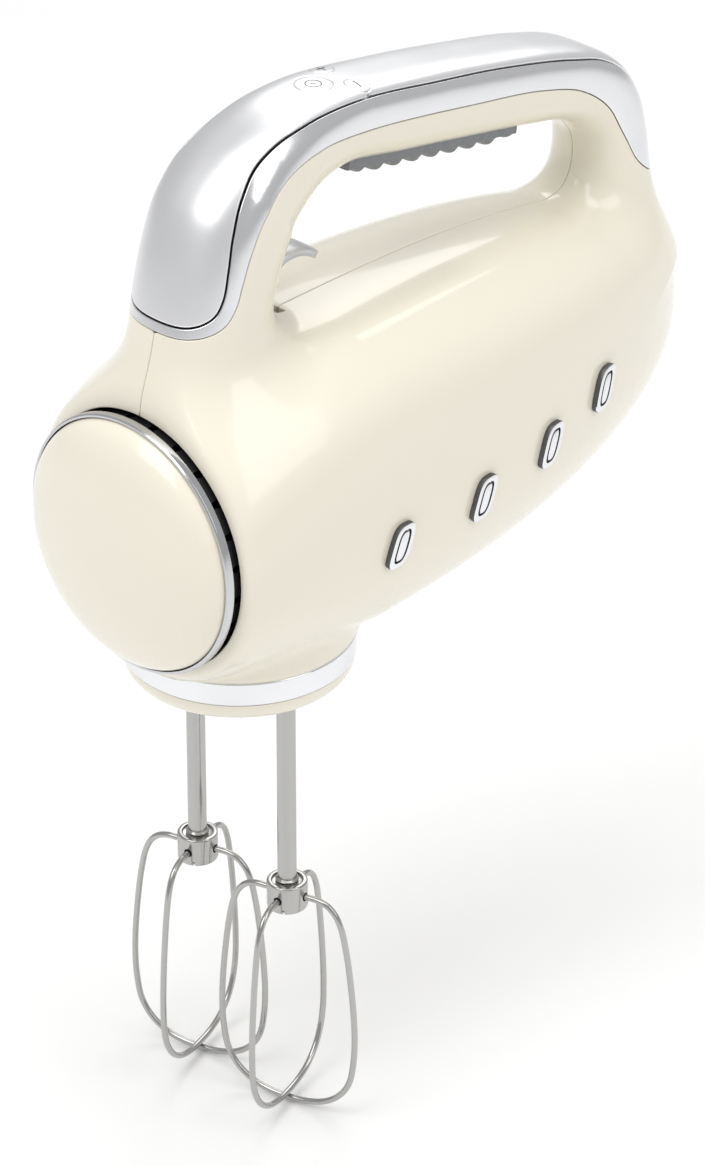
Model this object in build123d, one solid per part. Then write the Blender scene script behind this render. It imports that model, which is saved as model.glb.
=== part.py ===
from build123d import *
import math
import os

# Retro hand mixer with two wire beaters.  Millimetres, +Z up, -X to the front (domed end),
# +Y to the mixer's left.  Everything is drawn about the point midway between the two beater
# axes at the collar's lower edge, and moved at the end so that the origin is the grip's centre.
GRIP_CENTRE = (60.0, 0.0, 144.0)

# --- driving dimensions -------------------------------------------------------------------
WALL = 2.5                # housing wall
HANDLE_WALL = 4.2         # wall of the handle, which also carries the trim and panel
FIT = 0.2                 # gap between pieces that only sit together
RUN = 0.05                # radial running clearance of shafts

# body: superellipse sections along X
BODY_FRONT = -36.7
BODY_WIDEST = 22.0
BODY_REAR = 170.5
BODY_HALF_HEIGHT = 47.2
BODY_HALF_WIDTH = 43.4
BODY_MID_Z = 52.1
BODY_REAR_RISE = 2.5
RIM_R = 38.0
NOSE_Z = 48.9
BODY_FLOOR_Z = 7.2

# nose: domed cap, ring and vent gap
RING_R = 37.5
RING_X = -38.9
RING_WIDTH = 2.5
CAP_R = 35.0
CAP_DEPTH = 11.7
CAP_X = -40.3
BAFFLE_R = 35.7

# collar and bottom cap
COLLAR_R = 32.8
COLLAR_H = 7.0
COLLAR_BORE_R = 30.4
BOTTOM_CAP_R = 32.4
BOTTOM_CAP_DEPTH = 4.8

# beaters
BEATER_Y = 17.8
SHAFT_R = 2.7
SHAFT_TOP_Z = 44.0
HUB_R = 5.8
HUB_TOP_Z = -69.5
HUB_H = 8.6
WIRE_R = 0.9
WIRE_TURN_DEG = 16.0
WIRE_EXIT_Z = -73.9
WIRE_BOTTOM_Z = (-142.6, -144.7)
WING_TOP_Z = 0.2

# drive
MOTOR_Z = 46.0
GEAR_TEETH = 28
WORM_STARTS = 2
GEAR_MODULE = 0.97
GEAR_R = GEAR_TEETH * GEAR_MODULE / 2
WORM_R = BEATER_Y - GEAR_R
AXIAL_PITCH = math.pi * GEAR_MODULE
WORM_LEAD = WORM_STARTS * AXIAL_PITCH
GEAR_Z = (MOTOR_Z - 4.0, MOTOR_Z + 4.0)
TOOTH_BACKLASH = 0.34
SPINDLE_R = 4.5
SPINDLE_Z = (-3.0, 60.0)
SHAFT_MOTOR_R = 2.5
ARMATURE_R = 13.0
STATOR_X = (44.0, 72.0)
COMMUTATOR_X = (78.0, 88.0)
COMMUTATOR_R = 9.0
FAN_X = (26.0, 35.0)
FAN_R = 22.0
REAR_BEARING_X = 96.0

# gearbox frame
FRAME_X = 19.5
FRAME_Y = 27.5
FRAME_WAIST_Y = 19.5
FRAME_SHOULDER_Z = 34.0
FRAME_FOOT_R = 29.5
PLATE = 3.0
LOWER_PLATE_Z = 9.5
UPPER_PLATE_Z = 54.0

# ejector
YOKE_Z = 72.0
LEVER_Z = 113.0
LEVER_T = 3.4
LEVER_ARM_Y = 3.0
LEVER_HALF_Y = 6.3
SLOT_X = (-1.0, 13.5)
SLOT_Z = (92.0, 115.2)
SPRING_WIRE_R = 0.45

# fasteners and seats
SCREW_R = 1.45
SCREW_HEAD_R = 2.7
SCREW_SEAT_Y = 14.0
SCREW_DEPTH = 12.0
SCREW_POSTS = [(-17.0, 86.0), (36.0, 86.0), (104.0, 82.0), (132.0, 34.0), (38.0, 17.5)]
FRAME_POSTS = [(15, 19), (15, -19), (-15, 19), (-15, -19)]
BUSH_R = 6.0
BEARING_R = 5.0

# buttons: x, y and radius of each cap
BUTTONS = {
    "button_power": (30.0, 0.0, 5.2),
    "button_minus": (39.8, -8.2, 3.9),
    "button_plus": (39.8, 8.2, 3.9),
}
BUTTON_TOP_Z = 160.9
SWITCH_TOP_Z = 153.0
BOARD_Z = 146.5
BOARD_Y = 9.0
BOARD_T = 1.6
POWER_BOARD_Z = 26.0
POWER_BOARD_Y = 13.0

# handle stations from the foot of the front pillar, over the grip, to the foot of the rear one:
# outer point (x, z), inner point (x, z), half width, squareness of the outer half,
# depth of the panel's edge and of the trim's edge below the outer point
HANDLE = [
    ((-36.0, 74.0), (20.0, 80.0), 27.0, 2.0, -4.0, -4.0),
    ((-33.5, 93.0), (9.5, 96.0), 20.5, 2.1, -3.0, -3.0),
    ((-31.4, 107.0), (5.5, 105.0), 18.6, 2.2, -1.0, 0.5),
    ((-29.0, 117.5), (5.5, 112.5), 18.4, 2.3, 7.5, 14.0),
    ((-25.0, 130.0), (8.3, 120.5), 18.4, 2.4, 7.4, 14.5),
    ((-19.0, 142.5), (13.0, 127.2), 18.0, 2.6, 6.0, 13.5),
    ((-8.0, 153.0), (18.5, 132.0), 16.2, 2.9, 4.4, 12.2),
    ((8.0, 159.0), (25.0, 135.4), 14.4, 3.4, 3.0, 11.4),
    ((27.0, 160.5), (31.5, 136.6), 13.2, 3.8, 2.5, 11.0),
    ((60.0, 156.1), (56.5, 132.2), 12.9, 3.8, 2.4, 10.6),
    ((92.5, 149.6), (88.0, 126.0), 12.7, 3.8, 2.4, 10.2),
    ((116.0, 144.0), (108.5, 121.8), 12.6, 3.8, 2.4, 9.6),
    ((133.0, 138.0), (120.5, 119.4), 12.6, 3.8, 2.4, 9.0),
    ((145.5, 129.3), (129.0, 115.4), 12.8, 3.6, 2.4, 8.4),
    ((152.5, 118.0), (133.3, 110.0), 13.2, 3.4, 2.4, 7.6),
    ((155.4, 107.0), (134.2, 104.4), 14.2, 3.0, 2.4, 6.4),
    ((157.0, 97.0), (132.0, 98.0), 16.5, 2.6, -1.0, 1.0),
    ((160.0, 85.0), (124.0, 91.0), 20.5, 2.3, -3.0, -3.0),
    ((163.5, 70.0), (114.0, 83.0), 22.0, 2.2, -3.0, -3.0),
]
COVER_STATIONS = range(2, 17)
PANEL_T = 1.8
TRIM_T = 2.2
UNDER_SQUARENESS = 2.3

# grip insert under the handle
INSERT_START = (35.0, 136.0)
INSERT_END = (102.0, 123.4)
INSERT_HALF_WIDTH = 8.0
INSERT_RIDGES = 9
INSERT_DEPTH = 3.0

# emblem studs on each side: x and z of each centre
STUDS = [(18.0, 41.8), (51.7, 42.4), (81.4, 46.1), (107.4, 52.2)]
STUD_W = 8.5
STUD_H = 13.5
STUD_T = 1.8

CORD_BORE_R = 3.6
GLAND_R = 7.0
GLAND_LIP_X = 169.9
CORD_Z = 54.6


# --- helpers ------------------------------------------------------------------------------
def spun(shape, degrees, axis=Axis.Z):
    return shape.rotate(axis, degrees)


def box(x, y, z):
    """Box from (low, high) pairs."""
    size = [b - a for a, b in (x, y, z)]
    mid = [(a + b) / 2 for a, b in (x, y, z)]
    return Pos(*mid) * Box(*size)


def rod_x(x, r, y=0.0, z=MOTOR_Z):
    return Pos((x[0] + x[1]) / 2, y, z) * Rot(0, 90, 0) * Cylinder(r, x[1] - x[0])


def rod_z(z, r, x=0.0, y=0.0):
    return Pos(x, y, (z[0] + z[1]) / 2) * Cylinder(r, z[1] - z[0])


def rod_y(y, r, x, z):
    return Pos(x, (y[0] + y[1]) / 2, z) * Rot(90, 0, 0) * Cylinder(r, y[1] - y[0])


def tube_x(x, r, bore, z=MOTOR_Z):
    return rod_x(x, r, z=z) - rod_x((x[0] - 1, x[1] + 1), bore, z=z)


def tube_z(z, r, bore, x=0.0, y=0.0):
    return rod_z(z, r, x, y) - rod_z((z[0] - 1, z[1] + 1), bore, x, y)


def turned_x(points, z):
    """Solid of revolution about the X line at height z, from (x, radius) points."""
    face = make_face(Polyline([(x, r) for x, r in points], close=True))
    solid = revolve(face, Axis.X, 360)
    return Pos(0, 0, z) * solid


def turned_z(points):
    """Solid of revolution about Z, from (radius, z) points."""
    outline = Polyline([(r, 0, z) for r, z in points], close=True)
    return revolve(make_face(outline), Axis.Z, 360)


def both_sides(shape):
    return [shape, mirror(shape, Plane.XZ)]


def half_outline(half_y, half_u, n_upper, n_lower, count=9):
    """Right half of a superellipse from its top to its bottom, as (y, u), with its own
    squareness above and below the middle."""
    upper = []
    lower = []
    for k in range(count):
        angle = math.pi / 2 * k / (count - 1)
        c = math.cos(angle)
        s = math.sin(angle)
        upper.append((half_y * s ** (2 / n_upper), half_u * c ** (2 / n_upper)))
        lower.append((half_y * c ** (2 / n_lower), -half_u * s ** (2 / n_lower)))
    return upper + lower[1:]


def half_face(points):
    """Face between a curve and the straight line that joins its ends on the Y = 0 plane."""
    return make_face([Spline(*points), Line(points[-1], points[0])])


# --- outer forms, as left halves that end at Y = 0 ------------------------------------------
def body_section(x, inset):
    rear = BODY_REAR - inset
    if x >= BODY_WIDEST:
        t = (x - BODY_WIDEST) / (rear - BODY_WIDEST)
        half_height = (BODY_HALF_HEIGHT - inset) * (1 - t ** 2.47) ** (1 / 2.47)
        half_width = (BODY_HALF_WIDTH - inset) * (1 - t ** 2.12) ** (1 / 2.12)
        mid = BODY_MID_Z + BODY_REAR_RISE * t * t
        n = 2.9 - 0.64 * t
    else:
        t = (BODY_WIDEST - x) / (BODY_WIDEST - BODY_FRONT)
        drop = 1 - (1 - min(t, 1) ** 2.5) ** (1 / 2.5)
        half_height = BODY_HALF_HEIGHT - inset - (BODY_HALF_HEIGHT - RIM_R) * drop
        half_width = BODY_HALF_WIDTH - inset - (BODY_HALF_WIDTH - RIM_R) * drop
        mid = BODY_MID_Z + (NOSE_Z - BODY_MID_Z) * t * t
        n = 2.9 - 0.9 * t
    outline = half_outline(half_width, half_height, n, n)
    return half_face([Vector(x, y, mid + u) for y, u in outline])


def half_body(inset=0.0):
    span = BODY_REAR - inset - BODY_FRONT
    steps = [0, 0.012, 0.045, 0.12, 0.28, 0.46, 0.62, 0.75, 0.86, 0.94, 0.98, 0.998]
    form = loft([body_section(BODY_FRONT + span * s, inset) for s in steps])
    return form & box((-60, 200), (-1, 60), (BODY_FLOOR_Z + inset, 120))


def half_neck():
    """Round skirt that runs from the body down to the collar."""
    return rod_z((COLLAR_H + FIT, 34.0), COLLAR_R) & box((-60, 60), (0, 60), (0, 60))


def handle_section(station, inset):
    outer, inner, half_width, n_outer = station[:4]
    up = Vector(outer[0] - inner[0], 0, outer[1] - inner[1])
    half_depth = up.length / 2 - inset
    up = up.normalized()
    mid = Vector((outer[0] + inner[0]) / 2, 0, (outer[1] + inner[1]) / 2)
    outline = half_outline(half_width - inset, half_depth, n_outer, UNDER_SQUARENESS)
    return half_face([mid + up * u + Vector(0, y, 0) for y, u in outline])


def half_handle(inset=0.0):
    return loft([handle_section(s, inset) for s in HANDLE])


def depth_zone(stations, low, high, half_width=40.0):
    """Left half of the band of the handle between two depths below its outer line; low and
    high work out the depth from a station."""
    faces = []
    for k in stations:
        s = HANDLE[k]
        outer = Vector(s[0][0], 0, s[0][1])
        inner = Vector(s[1][0], 0, s[1][1])
        down = (inner - outer).normalized()
        a = outer + down * low(s)
        b = outer + down * high(s)
        side = Vector(0, half_width, 0)
        faces.append(make_face(Polyline([a, a + side, b + side, b], close=True)))
    return loft(faces, ruled=True)


def whole(half):
    """Left half joined with its mirror image."""
    return half + mirror(half, Plane.XZ)


# --- body and handle ----------------------------------------------------------------------
def insert_frame():
    """Plane along the grip insert: x along the handle's underside, z away from it."""
    dx = INSERT_END[0] - INSERT_START[0]
    dz = INSERT_END[1] - INSERT_START[1]
    return Plane(origin=(INSERT_START[0], 0, INSERT_START[1]), x_dir=(dx, 0, dz),
                 z_dir=(-dz, 0, dx))


def insert_length():
    return math.hypot(INSERT_END[0] - INSERT_START[0], INSERT_END[1] - INSERT_START[1])


def insert_pocket(gap):
    length = insert_length()
    block = box((-gap, length + gap), (-INSERT_HALF_WIDTH - gap, INSERT_HALF_WIDTH + gap),
                (-6, INSERT_DEPTH + gap))
    return insert_frame() * block


def grip_insert():
    """Soft strip with raked ridges, let into the underside of the grip."""
    length = insert_length()
    pitch = length / INSERT_RIDGES
    points = [(0, INSERT_DEPTH), (0, -0.6)]
    for k in range(INSERT_RIDGES):
        start = k * pitch
        points += [(start + 0.75 * pitch, -3.0), (start + pitch, -0.6)]
    points.append((length, INSERT_DEPTH))
    outline = make_face(Polyline([(x, 0, z) for x, z in points], close=True))
    return insert_frame() * extrude(outline, INSERT_HALF_WIDTH, both=True)


def lever_slot():
    """Slot down the front pillar's rear and into the body's top, for the ejector's shoe."""
    return box(SLOT_X, (-LEVER_ARM_Y - 0.3, LEVER_ARM_Y + 0.3), SLOT_Z)


def half_board_rests():
    """Ribs that carry the two boards."""
    rests = []
    for x in (109.0, 126.0):
        rests.append(box((x, x + 2.5), (0, POWER_BOARD_Y), (5.0, POWER_BOARD_Z)) & half_body(WALL / 2))
    for x in (22.0, 45.0):
        rests.append(box((x, x + 2.5), (0, 8.0), (130.0, BOARD_Z)) & half_handle(HANDLE_WALL - 0.5))
    return rests


def half_housing():
    outer = half_body() + half_neck() + half_handle()
    hollow = half_body(WALL) + half_handle(HANDLE_WALL)
    neck_hollow = rod_z((COLLAR_H - 1, 34.0), COLLAR_R - WALL) & box((-60, 60), (-1, 60), (0, 60))
    nose_hollow = rod_x((BODY_FRONT - 1, -24.0), BAFFLE_R + FIT, z=NOSE_Z)
    shell = outer - hollow - neck_hollow - nose_hollow
    cover_zone = depth_zone(COVER_STATIONS, lambda s: -8.0, lambda s: s[5] + 0.15)
    shell -= cover_zone - half_handle(TRIM_T + FIT)
    shell -= box((12.0, 52.0), (-1, BOARD_Y + 0.3), (BOARD_Z - 0.5, 170.0))
    shell -= button_wells(0.3)
    shell -= insert_pocket(FIT)
    shell -= lever_slot()
    shell -= rod_x((140.0, 180.0), GLAND_R + FIT, z=CORD_Z)
    for x, z in SCREW_POSTS:
        shell += rod_y((0.0, 46.0), 4.0, x, z) & half_body(WALL / 2)
    for rest in half_board_rests():
        shell += rest
    return shell


def housing_left():
    shell = half_housing()
    for x, z in SCREW_POSTS:
        shell -= rod_y((-1.0, 16.0), SCREW_R + 0.1, x, z)
        shell -= rod_y((SCREW_SEAT_Y, 60.0), SCREW_HEAD_R + 0.3, x, z)
    return shell


def housing_right():
    shell = mirror(half_housing(), Plane.XZ)
    for x, z in SCREW_POSTS:
        shell -= rod_y((-SCREW_DEPTH, 1.0), SCREW_R, x, z)
    return shell


def housing_screws():
    screws = []
    for x, z in SCREW_POSTS:
        shank = rod_y((-SCREW_DEPTH + 0.5, SCREW_SEAT_Y), SCREW_R, x, z)
        head = rod_y((SCREW_SEAT_Y, SCREW_SEAT_Y + 2.0), SCREW_HEAD_R, x, z)
        recess = rod_y((SCREW_SEAT_Y + 0.9, SCREW_SEAT_Y + 3.0), 1.2, x, z)
        screws.append(shank + head - recess)
    return screws


def button_wells(gap):
    wells = [rod_z((150.0, 170.0), r + gap, x, y) for x, y, r in BUTTONS.values()]
    return wells[0] + wells[1] + wells[2]


def handle_panel():
    zone = depth_zone(COVER_STATIONS, lambda s: -8.0, lambda s: s[4])
    panel = whole((half_handle() - half_handle(PANEL_T)) & zone)
    return panel - button_wells(0.15)


def handle_trim():
    zone = depth_zone(COVER_STATIONS, lambda s: s[4] + 0.25, lambda s: s[5])
    trim = whole((half_handle() - half_handle(TRIM_T)) & zone)
    return trim - button_wells(0.3)


def button(x, y, r):
    """Cap whose top is flush with the cover, on a short stem."""
    low = BUTTON_TOP_Z - 5.2 - 0.125 * (x - 30.0)
    cap = rod_z((low, 170.0), r, x, y) & whole(half_handle(-0.3))
    return cap + rod_z((SWITCH_TOP_Z + 0.9, low + 1.0), 1.6, x, y)


def control_board():
    return box((20.0, 50.0), (-BOARD_Y, BOARD_Y), (BOARD_Z, BOARD_Z + BOARD_T))


def tact_switches():
    """One push switch under each button."""
    switches = []
    for x, y, _ in BUTTONS.values():
        base = box((x - 3, x + 3), (y * 0.72 - 3, y * 0.72 + 3), (BOARD_Z + BOARD_T, BOARD_Z + 5.0))
        plunger = rod_z((BOARD_Z + 5.0, SWITCH_TOP_Z), 1.7, x, y * 0.72)
        switches.append(base + plunger)
    return switches


# --- nose ---------------------------------------------------------------------------------
def cap_curve(depth, r, count=7):
    """Quarter ellipse from the nose's tip to its rim, as (x, radius)."""
    angles = [math.pi / 2 * k / (count - 1) for k in range(count)]
    return [(CAP_X - depth * math.cos(a), r * math.sin(a)) for a in angles]


def front_cap():
    outer = Spline(*cap_curve(CAP_DEPTH, CAP_R), tangents=[(0, 1), (1, 0)])
    inner = Spline(*cap_curve(CAP_DEPTH - 2.2, CAP_R - 4.6), tangents=[(0, 1), (1, 0)])
    spigot = CAP_R - 2.2
    rim = Polyline((CAP_X, CAP_R), (CAP_X, spigot), (CAP_X + 4.3, spigot), (CAP_X + 4.3, CAP_R - 4.6),
                   (CAP_X, CAP_R - 4.6))
    axis = Line((CAP_X - CAP_DEPTH, 0), (CAP_X - CAP_DEPTH + 2.2, 0))
    shell = revolve(make_face([outer, rim, inner, axis]), Axis.X, 360)
    return Pos(0, 0, NOSE_Z) * shell


def front_ring():
    back = RING_X
    front = RING_X - RING_WIDTH
    bore = CAP_R + 0.15
    return turned_x([(back, RING_R), (front + 0.8, RING_R), (front + 0.2, RING_R - 0.5),
                     (front, bore + 0.3), (front, bore), (back, bore)], NOSE_Z)


def vent_baffle():
    """Dark sleeve behind the ring with air slots round its neck and a closed inner wall."""
    bore = CAP_R - 2.2 + FIT
    sleeve = turned_x([(RING_X, 36.6), (RING_X + 0.7, 36.6), (RING_X + 0.7, BAFFLE_R), (-27.0, BAFFLE_R),
                       (-27.0, 0), (-29.0, 0), (-29.0, bore), (RING_X, bore)], NOSE_Z)
    slot = box((-37.8, -31.0), (-1.2, 1.2), (bore - 1, BAFFLE_R + 1))
    for k in range(24):
        sleeve -= Pos(0, 0, NOSE_Z) * spun(slot, 15 * k, Axis.X)
    return sleeve


# --- collar and bottom cap ----------------------------------------------------------------
def collar_ring():
    return turned_z([(COLLAR_BORE_R, 0), (COLLAR_R - 0.5, 0), (COLLAR_R, 0.5), (COLLAR_R, COLLAR_H - 0.5),
                     (COLLAR_R - 0.5, COLLAR_H), (COLLAR_BORE_R, COLLAR_H)])


def bottom_cap():
    low = -BOTTOM_CAP_DEPTH
    spigot = COLLAR_BORE_R - FIT
    dish = turned_z([(0, low), (BOTTOM_CAP_R - 5.5, low), (BOTTOM_CAP_R - 2.6, low + 0.8),
                     (BOTTOM_CAP_R - 0.7, low + 2.4), (BOTTOM_CAP_R, -FIT), (spigot, -FIT), (spigot, 6.0),
                     (spigot - 2.2, 6.0), (spigot - 2.2, low + WALL), (0, low + WALL)])
    for y in (-BEATER_Y, BEATER_Y):
        dish += rod_z((low, 3.0), 8.0, 0, y)
        dish -= rod_z((low - 1, 4.0), SPINDLE_R + 0.7, 0, y)
    for x, y in FRAME_POSTS:
        dish -= rod_z((low - 1, low + WALL + 1), SCREW_R + 0.1, x, y)
        dish -= rod_z((low - 1, low + 1.2), SCREW_HEAD_R + 0.3, x, y)
    return dish


# --- gearbox ------------------------------------------------------------------------------
def gearbox_frame():
    """Cage of two plates and two walls that holds the spindles and the worm's bearings."""
    side = FRAME_X + PLATE / 2
    upper = box((-side, side), (-FRAME_Y, FRAME_Y), (UPPER_PLATE_Z, UPPER_PLATE_Z + PLATE))
    lower = rod_z((LOWER_PLATE_Z, LOWER_PLATE_Z + PLATE), FRAME_FOOT_R)
    lower &= box((-side, side), (-FRAME_Y, FRAME_Y), (0, UPPER_PLATE_Z))
    frame = upper + lower
    for x in (-FRAME_X, FRAME_X):
        wall_x = (x - PLATE / 2, x + PLATE / 2)
        frame += box(wall_x, (-FRAME_WAIST_Y, FRAME_WAIST_Y), (LOWER_PLATE_Z + 1, FRAME_SHOULDER_Z))
        frame += box(wall_x, (-FRAME_Y, FRAME_Y), (FRAME_SHOULDER_Z, UPPER_PLATE_Z + 1))
    for y in (-BEATER_Y, BEATER_Y):
        frame -= rod_z((0, 80), BUSH_R, 0, y)
    frame -= rod_x((-30, 30), BEARING_R)
    for x, y in FRAME_POSTS:
        frame += rod_z((-BOTTOM_CAP_DEPTH + WALL + 0.05, LOWER_PLATE_Z + 1), 3.4, x, y)
        frame -= rod_z((-BOTTOM_CAP_DEPTH, 8.0), SCREW_R, x, y)
    return frame


def frame_screws():
    screws = []
    low = -BOTTOM_CAP_DEPTH + 1.2
    for x, y in FRAME_POSTS:
        screws.append(rod_z((low, 7.5), SCREW_R, x, y) + rod_z((low - 0.9, low), SCREW_HEAD_R, x, y))
    return screws


def spindle_bushes():
    bushes = []
    for y in (-BEATER_Y, BEATER_Y):
        for z in (LOWER_PLATE_Z, UPPER_PLATE_Z):
            bushes.append(tube_z((z, z + PLATE), BUSH_R, SPINDLE_R + RUN, 0, y))
    return bushes


def spindle(y):
    """Hollow drive sleeve with a cross slot in its mouth for the beater's wings."""
    sleeve = tube_z(SPINDLE_Z, SPINDLE_R, SHAFT_R + RUN, 0, y)
    return sleeve - box((-6, 6), (y - 0.9, y + 0.9), (SPINDLE_Z[0] - 1, WING_TOP_Z + 0.3))


def gear_section(z):
    """Outline of the worm gear at height z; the teeth lean with the worm's thread."""
    twist = (z - MOTOR_Z) * WORM_LEAD / (2 * math.pi * WORM_R) / GEAR_R
    pitch = 2 * math.pi / GEAR_TEETH
    tip_r = GEAR_R + 0.9 * GEAR_MODULE
    root_r = GEAR_R - 1.15 * GEAR_MODULE
    half = (AXIAL_PITCH / 2 - TOOTH_BACKLASH) / 2 / GEAR_R
    slope = math.tan(math.radians(20)) / GEAR_R
    tip_half = half - 0.9 * GEAR_MODULE * slope
    root_half = half + 1.15 * GEAR_MODULE * slope
    points = []
    for k in range(GEAR_TEETH):
        middle = twist + (k + 0.5) * pitch
        for r, a in ((root_r, -root_half), (tip_r, -tip_half), (tip_r, tip_half), (root_r, root_half)):
            points.append(Vector(r * math.cos(middle + a), r * math.sin(middle + a), z))
    return make_face(Polyline(points, close=True))


def worm_gear(y):
    heights = [GEAR_Z[0] + k * (GEAR_Z[1] - GEAR_Z[0]) / 4 for k in range(5)]
    gear = loft([gear_section(z) for z in heights], ruled=True)
    gear = Pos(0, y, 0) * gear
    return gear - rod_z((GEAR_Z[0] - 1, GEAR_Z[1] + 1), SPINDLE_R, 0, y)


def worm():
    """Two-start worm on the motor shaft."""
    half_length = 9.0
    root_r = WORM_R - 1.05 * GEAR_MODULE
    tip_r = WORM_R + 0.9 * GEAR_MODULE
    core = rod_x((-half_length - 2, half_length + 2), root_r)
    half = (AXIAL_PITCH / 2 - TOOTH_BACKLASH) / 2
    lean = math.tan(math.radians(20))
    tip_half = half - 0.9 * GEAR_MODULE * lean
    root_half = half + 1.25 * GEAR_MODULE * lean
    inner_r = root_r - 0.2 * GEAR_MODULE
    turns = Helix(pitch=WORM_LEAD, height=2 * half_length, radius=WORM_R)
    body = core
    for k in range(WORM_STARTS):
        tooth = make_face(Polyline([(inner_r, 0, -root_half), (tip_r, 0, -tip_half), (tip_r, 0, tip_half),
                                    (inner_r, 0, root_half)], close=True))
        thread = sweep(tooth, path=turns, is_frenet=True)
        lift = 360 * (-half_length / WORM_LEAD) + 360 * k / WORM_STARTS
        thread = Pos(0, 0, -half_length) * spun(thread, lift)
        body += Pos(0, 0, MOTOR_Z) * spun(spun(thread, 90, Axis.Y), 90, Axis.X)
    return body - rod_x((-20, 20), SHAFT_MOTOR_R)


# --- motor --------------------------------------------------------------------------------
def motor_shaft():
    return rod_x((-FRAME_X - 3, REAR_BEARING_X + 3), SHAFT_MOTOR_R)


def shaft_bearings():
    bearings = []
    for x in (-FRAME_X, FRAME_X, REAR_BEARING_X):
        bearings.append(tube_x((x - PLATE / 2, x + PLATE / 2), BEARING_R, SHAFT_MOTOR_R + RUN))
    return bearings


def armature_core():
    core = tube_x((STATOR_X[0] + 1, STATOR_X[1] - 1), ARMATURE_R, SHAFT_MOTOR_R)
    slot = box((STATOR_X[0], STATOR_X[1]), (-0.9, 0.9), (ARMATURE_R - 5, ARMATURE_R + 1))
    for k in range(12):
        core -= Pos(0, 0, MOTOR_Z) * spun(slot, 30 * k, Axis.X)
    return core


def armature_windings():
    """Rounded end turns of copper at each end of the core."""
    front = STATOR_X[0] + 1
    rear = STATOR_X[1] - 1
    ends = []
    for near, far in ((front, front - 5.0), (rear, rear + 5.0)):
        step = (far - near) / 5
        ends.append(turned_x([(near, 3.2), (near, 11.4), (near + 3 * step, 11.4), (far - step, 10.4),
                              (far, 8.6), (far, 3.2)], MOTOR_Z))
    return ends


def commutator():
    drum = tube_x(COMMUTATOR_X, COMMUTATOR_R, SHAFT_MOTOR_R)
    groove = box(COMMUTATOR_X, (-0.25, 0.25), (COMMUTATOR_R - 0.8, COMMUTATOR_R + 1))
    for k in range(24):
        drum -= Pos(0, 0, MOTOR_Z) * spun(groove, 15 * k, Axis.X)
    return drum


def cooling_fan():
    fan = tube_x((FAN_X[0], FAN_X[1]), 5.0, SHAFT_MOTOR_R)
    fan += tube_x((FAN_X[0], FAN_X[0] + 1.5), FAN_R, SHAFT_MOTOR_R)
    blade = box(FAN_X, (-0.7, 0.7), (4.0, FAN_R))
    for k in range(9):
        fan += Pos(0, 0, MOTOR_Z) * spun(blade, 40 * k, Axis.X)
    return fan


def motor_stator():
    """Laminated stack with a round bore and a winding window on each side."""
    stack = box(STATOR_X, (-24, 24), (MOTOR_Z - 20, MOTOR_Z + 20))
    stack = fillet(stack.edges().filter_by(Axis.X), 5)
    stack -= rod_x((STATOR_X[0] - 1, STATOR_X[1] + 1), ARMATURE_R + 0.6)
    for side in (-1, 1):
        window = sorted((side * 12.0, side * 20.5))
        stack -= box((STATOR_X[0] - 1, STATOR_X[1] + 1), window, (MOTOR_Z - 10.5, MOTOR_Z + 10.5))
    return stack


def field_coils():
    """Two copper coils, one round each pole, with end turns that clear the armature."""
    coils = []
    for up in (-1, 1):
        legs = sorted((MOTOR_Z + up * 1.5, MOTOR_Z + up * 18.5))
        bars = sorted((MOTOR_Z + up * 1.5, MOTOR_Z + up * 10.0))
        tops = sorted((MOTOR_Z + up * 13.8, MOTOR_Z + up * 18.5))
        coil = None
        for side in (-1, 1):
            across = sorted((side * 14.5, side * 20.0))
            leg = box((STATOR_X[0] - 5, STATOR_X[1] + 5), across, bars)
            leg += box((STATOR_X[0] - 5, STATOR_X[0] - 0.3), across, legs)
            leg += box((STATOR_X[1] + 0.3, STATOR_X[1] + 5), across, legs)
            coil = leg if coil is None else coil + leg
        coil += box((STATOR_X[0] - 5, STATOR_X[0] - 0.3), (-20, 20), tops)
        coil += box((STATOR_X[1] + 0.3, STATOR_X[1] + 5), (-20, 20), tops)
        coils.append(coil)
    return coils


def motor_bracket():
    """Strap along both sides of the motor that joins the gearbox to the rear bearing."""
    back = REAR_BEARING_X + PLATE / 2
    plate = box((back - PLATE, back), (-26.5, 26.5), (MOTOR_Z - 8, MOTOR_Z + 8))
    for side in (-1, 1):
        across = sorted((side * 24.0, side * 26.5))
        plate += box((FRAME_X + PLATE / 2, back), across, (MOTOR_Z - 5, MOTOR_Z + 5))
    return plate - rod_x((back - 10, back + 10), BEARING_R)


def brush_holders():
    middle = sum(COMMUTATOR_X) / 2
    holder = box((middle - 3, middle + 3), (10.5, 24.0), (MOTOR_Z - 4, MOTOR_Z + 4))
    holder -= box((middle - 2, middle + 2), (8.0, 22.5), (MOTOR_Z - 2.6, MOTOR_Z + 2.6))
    return both_sides(holder)


def carbon_brushes():
    middle = sum(COMMUTATOR_X) / 2
    brush = box((middle - 1.9, middle + 1.9), (COMMUTATOR_R + 0.1, 18.0), (MOTOR_Z - 2.5, MOTOR_Z + 2.5))
    return both_sides(brush)


def power_board():
    return box((106.0, 130.0), (-POWER_BOARD_Y, POWER_BOARD_Y), (POWER_BOARD_Z, POWER_BOARD_Z + BOARD_T))


def noise_capacitor():
    block = box((110.0, 127.0), (-9.0, 3.0), (POWER_BOARD_Z + BOARD_T, 41.0))
    return fillet(block.edges().filter_by(Axis.Z), 1.5)


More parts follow.
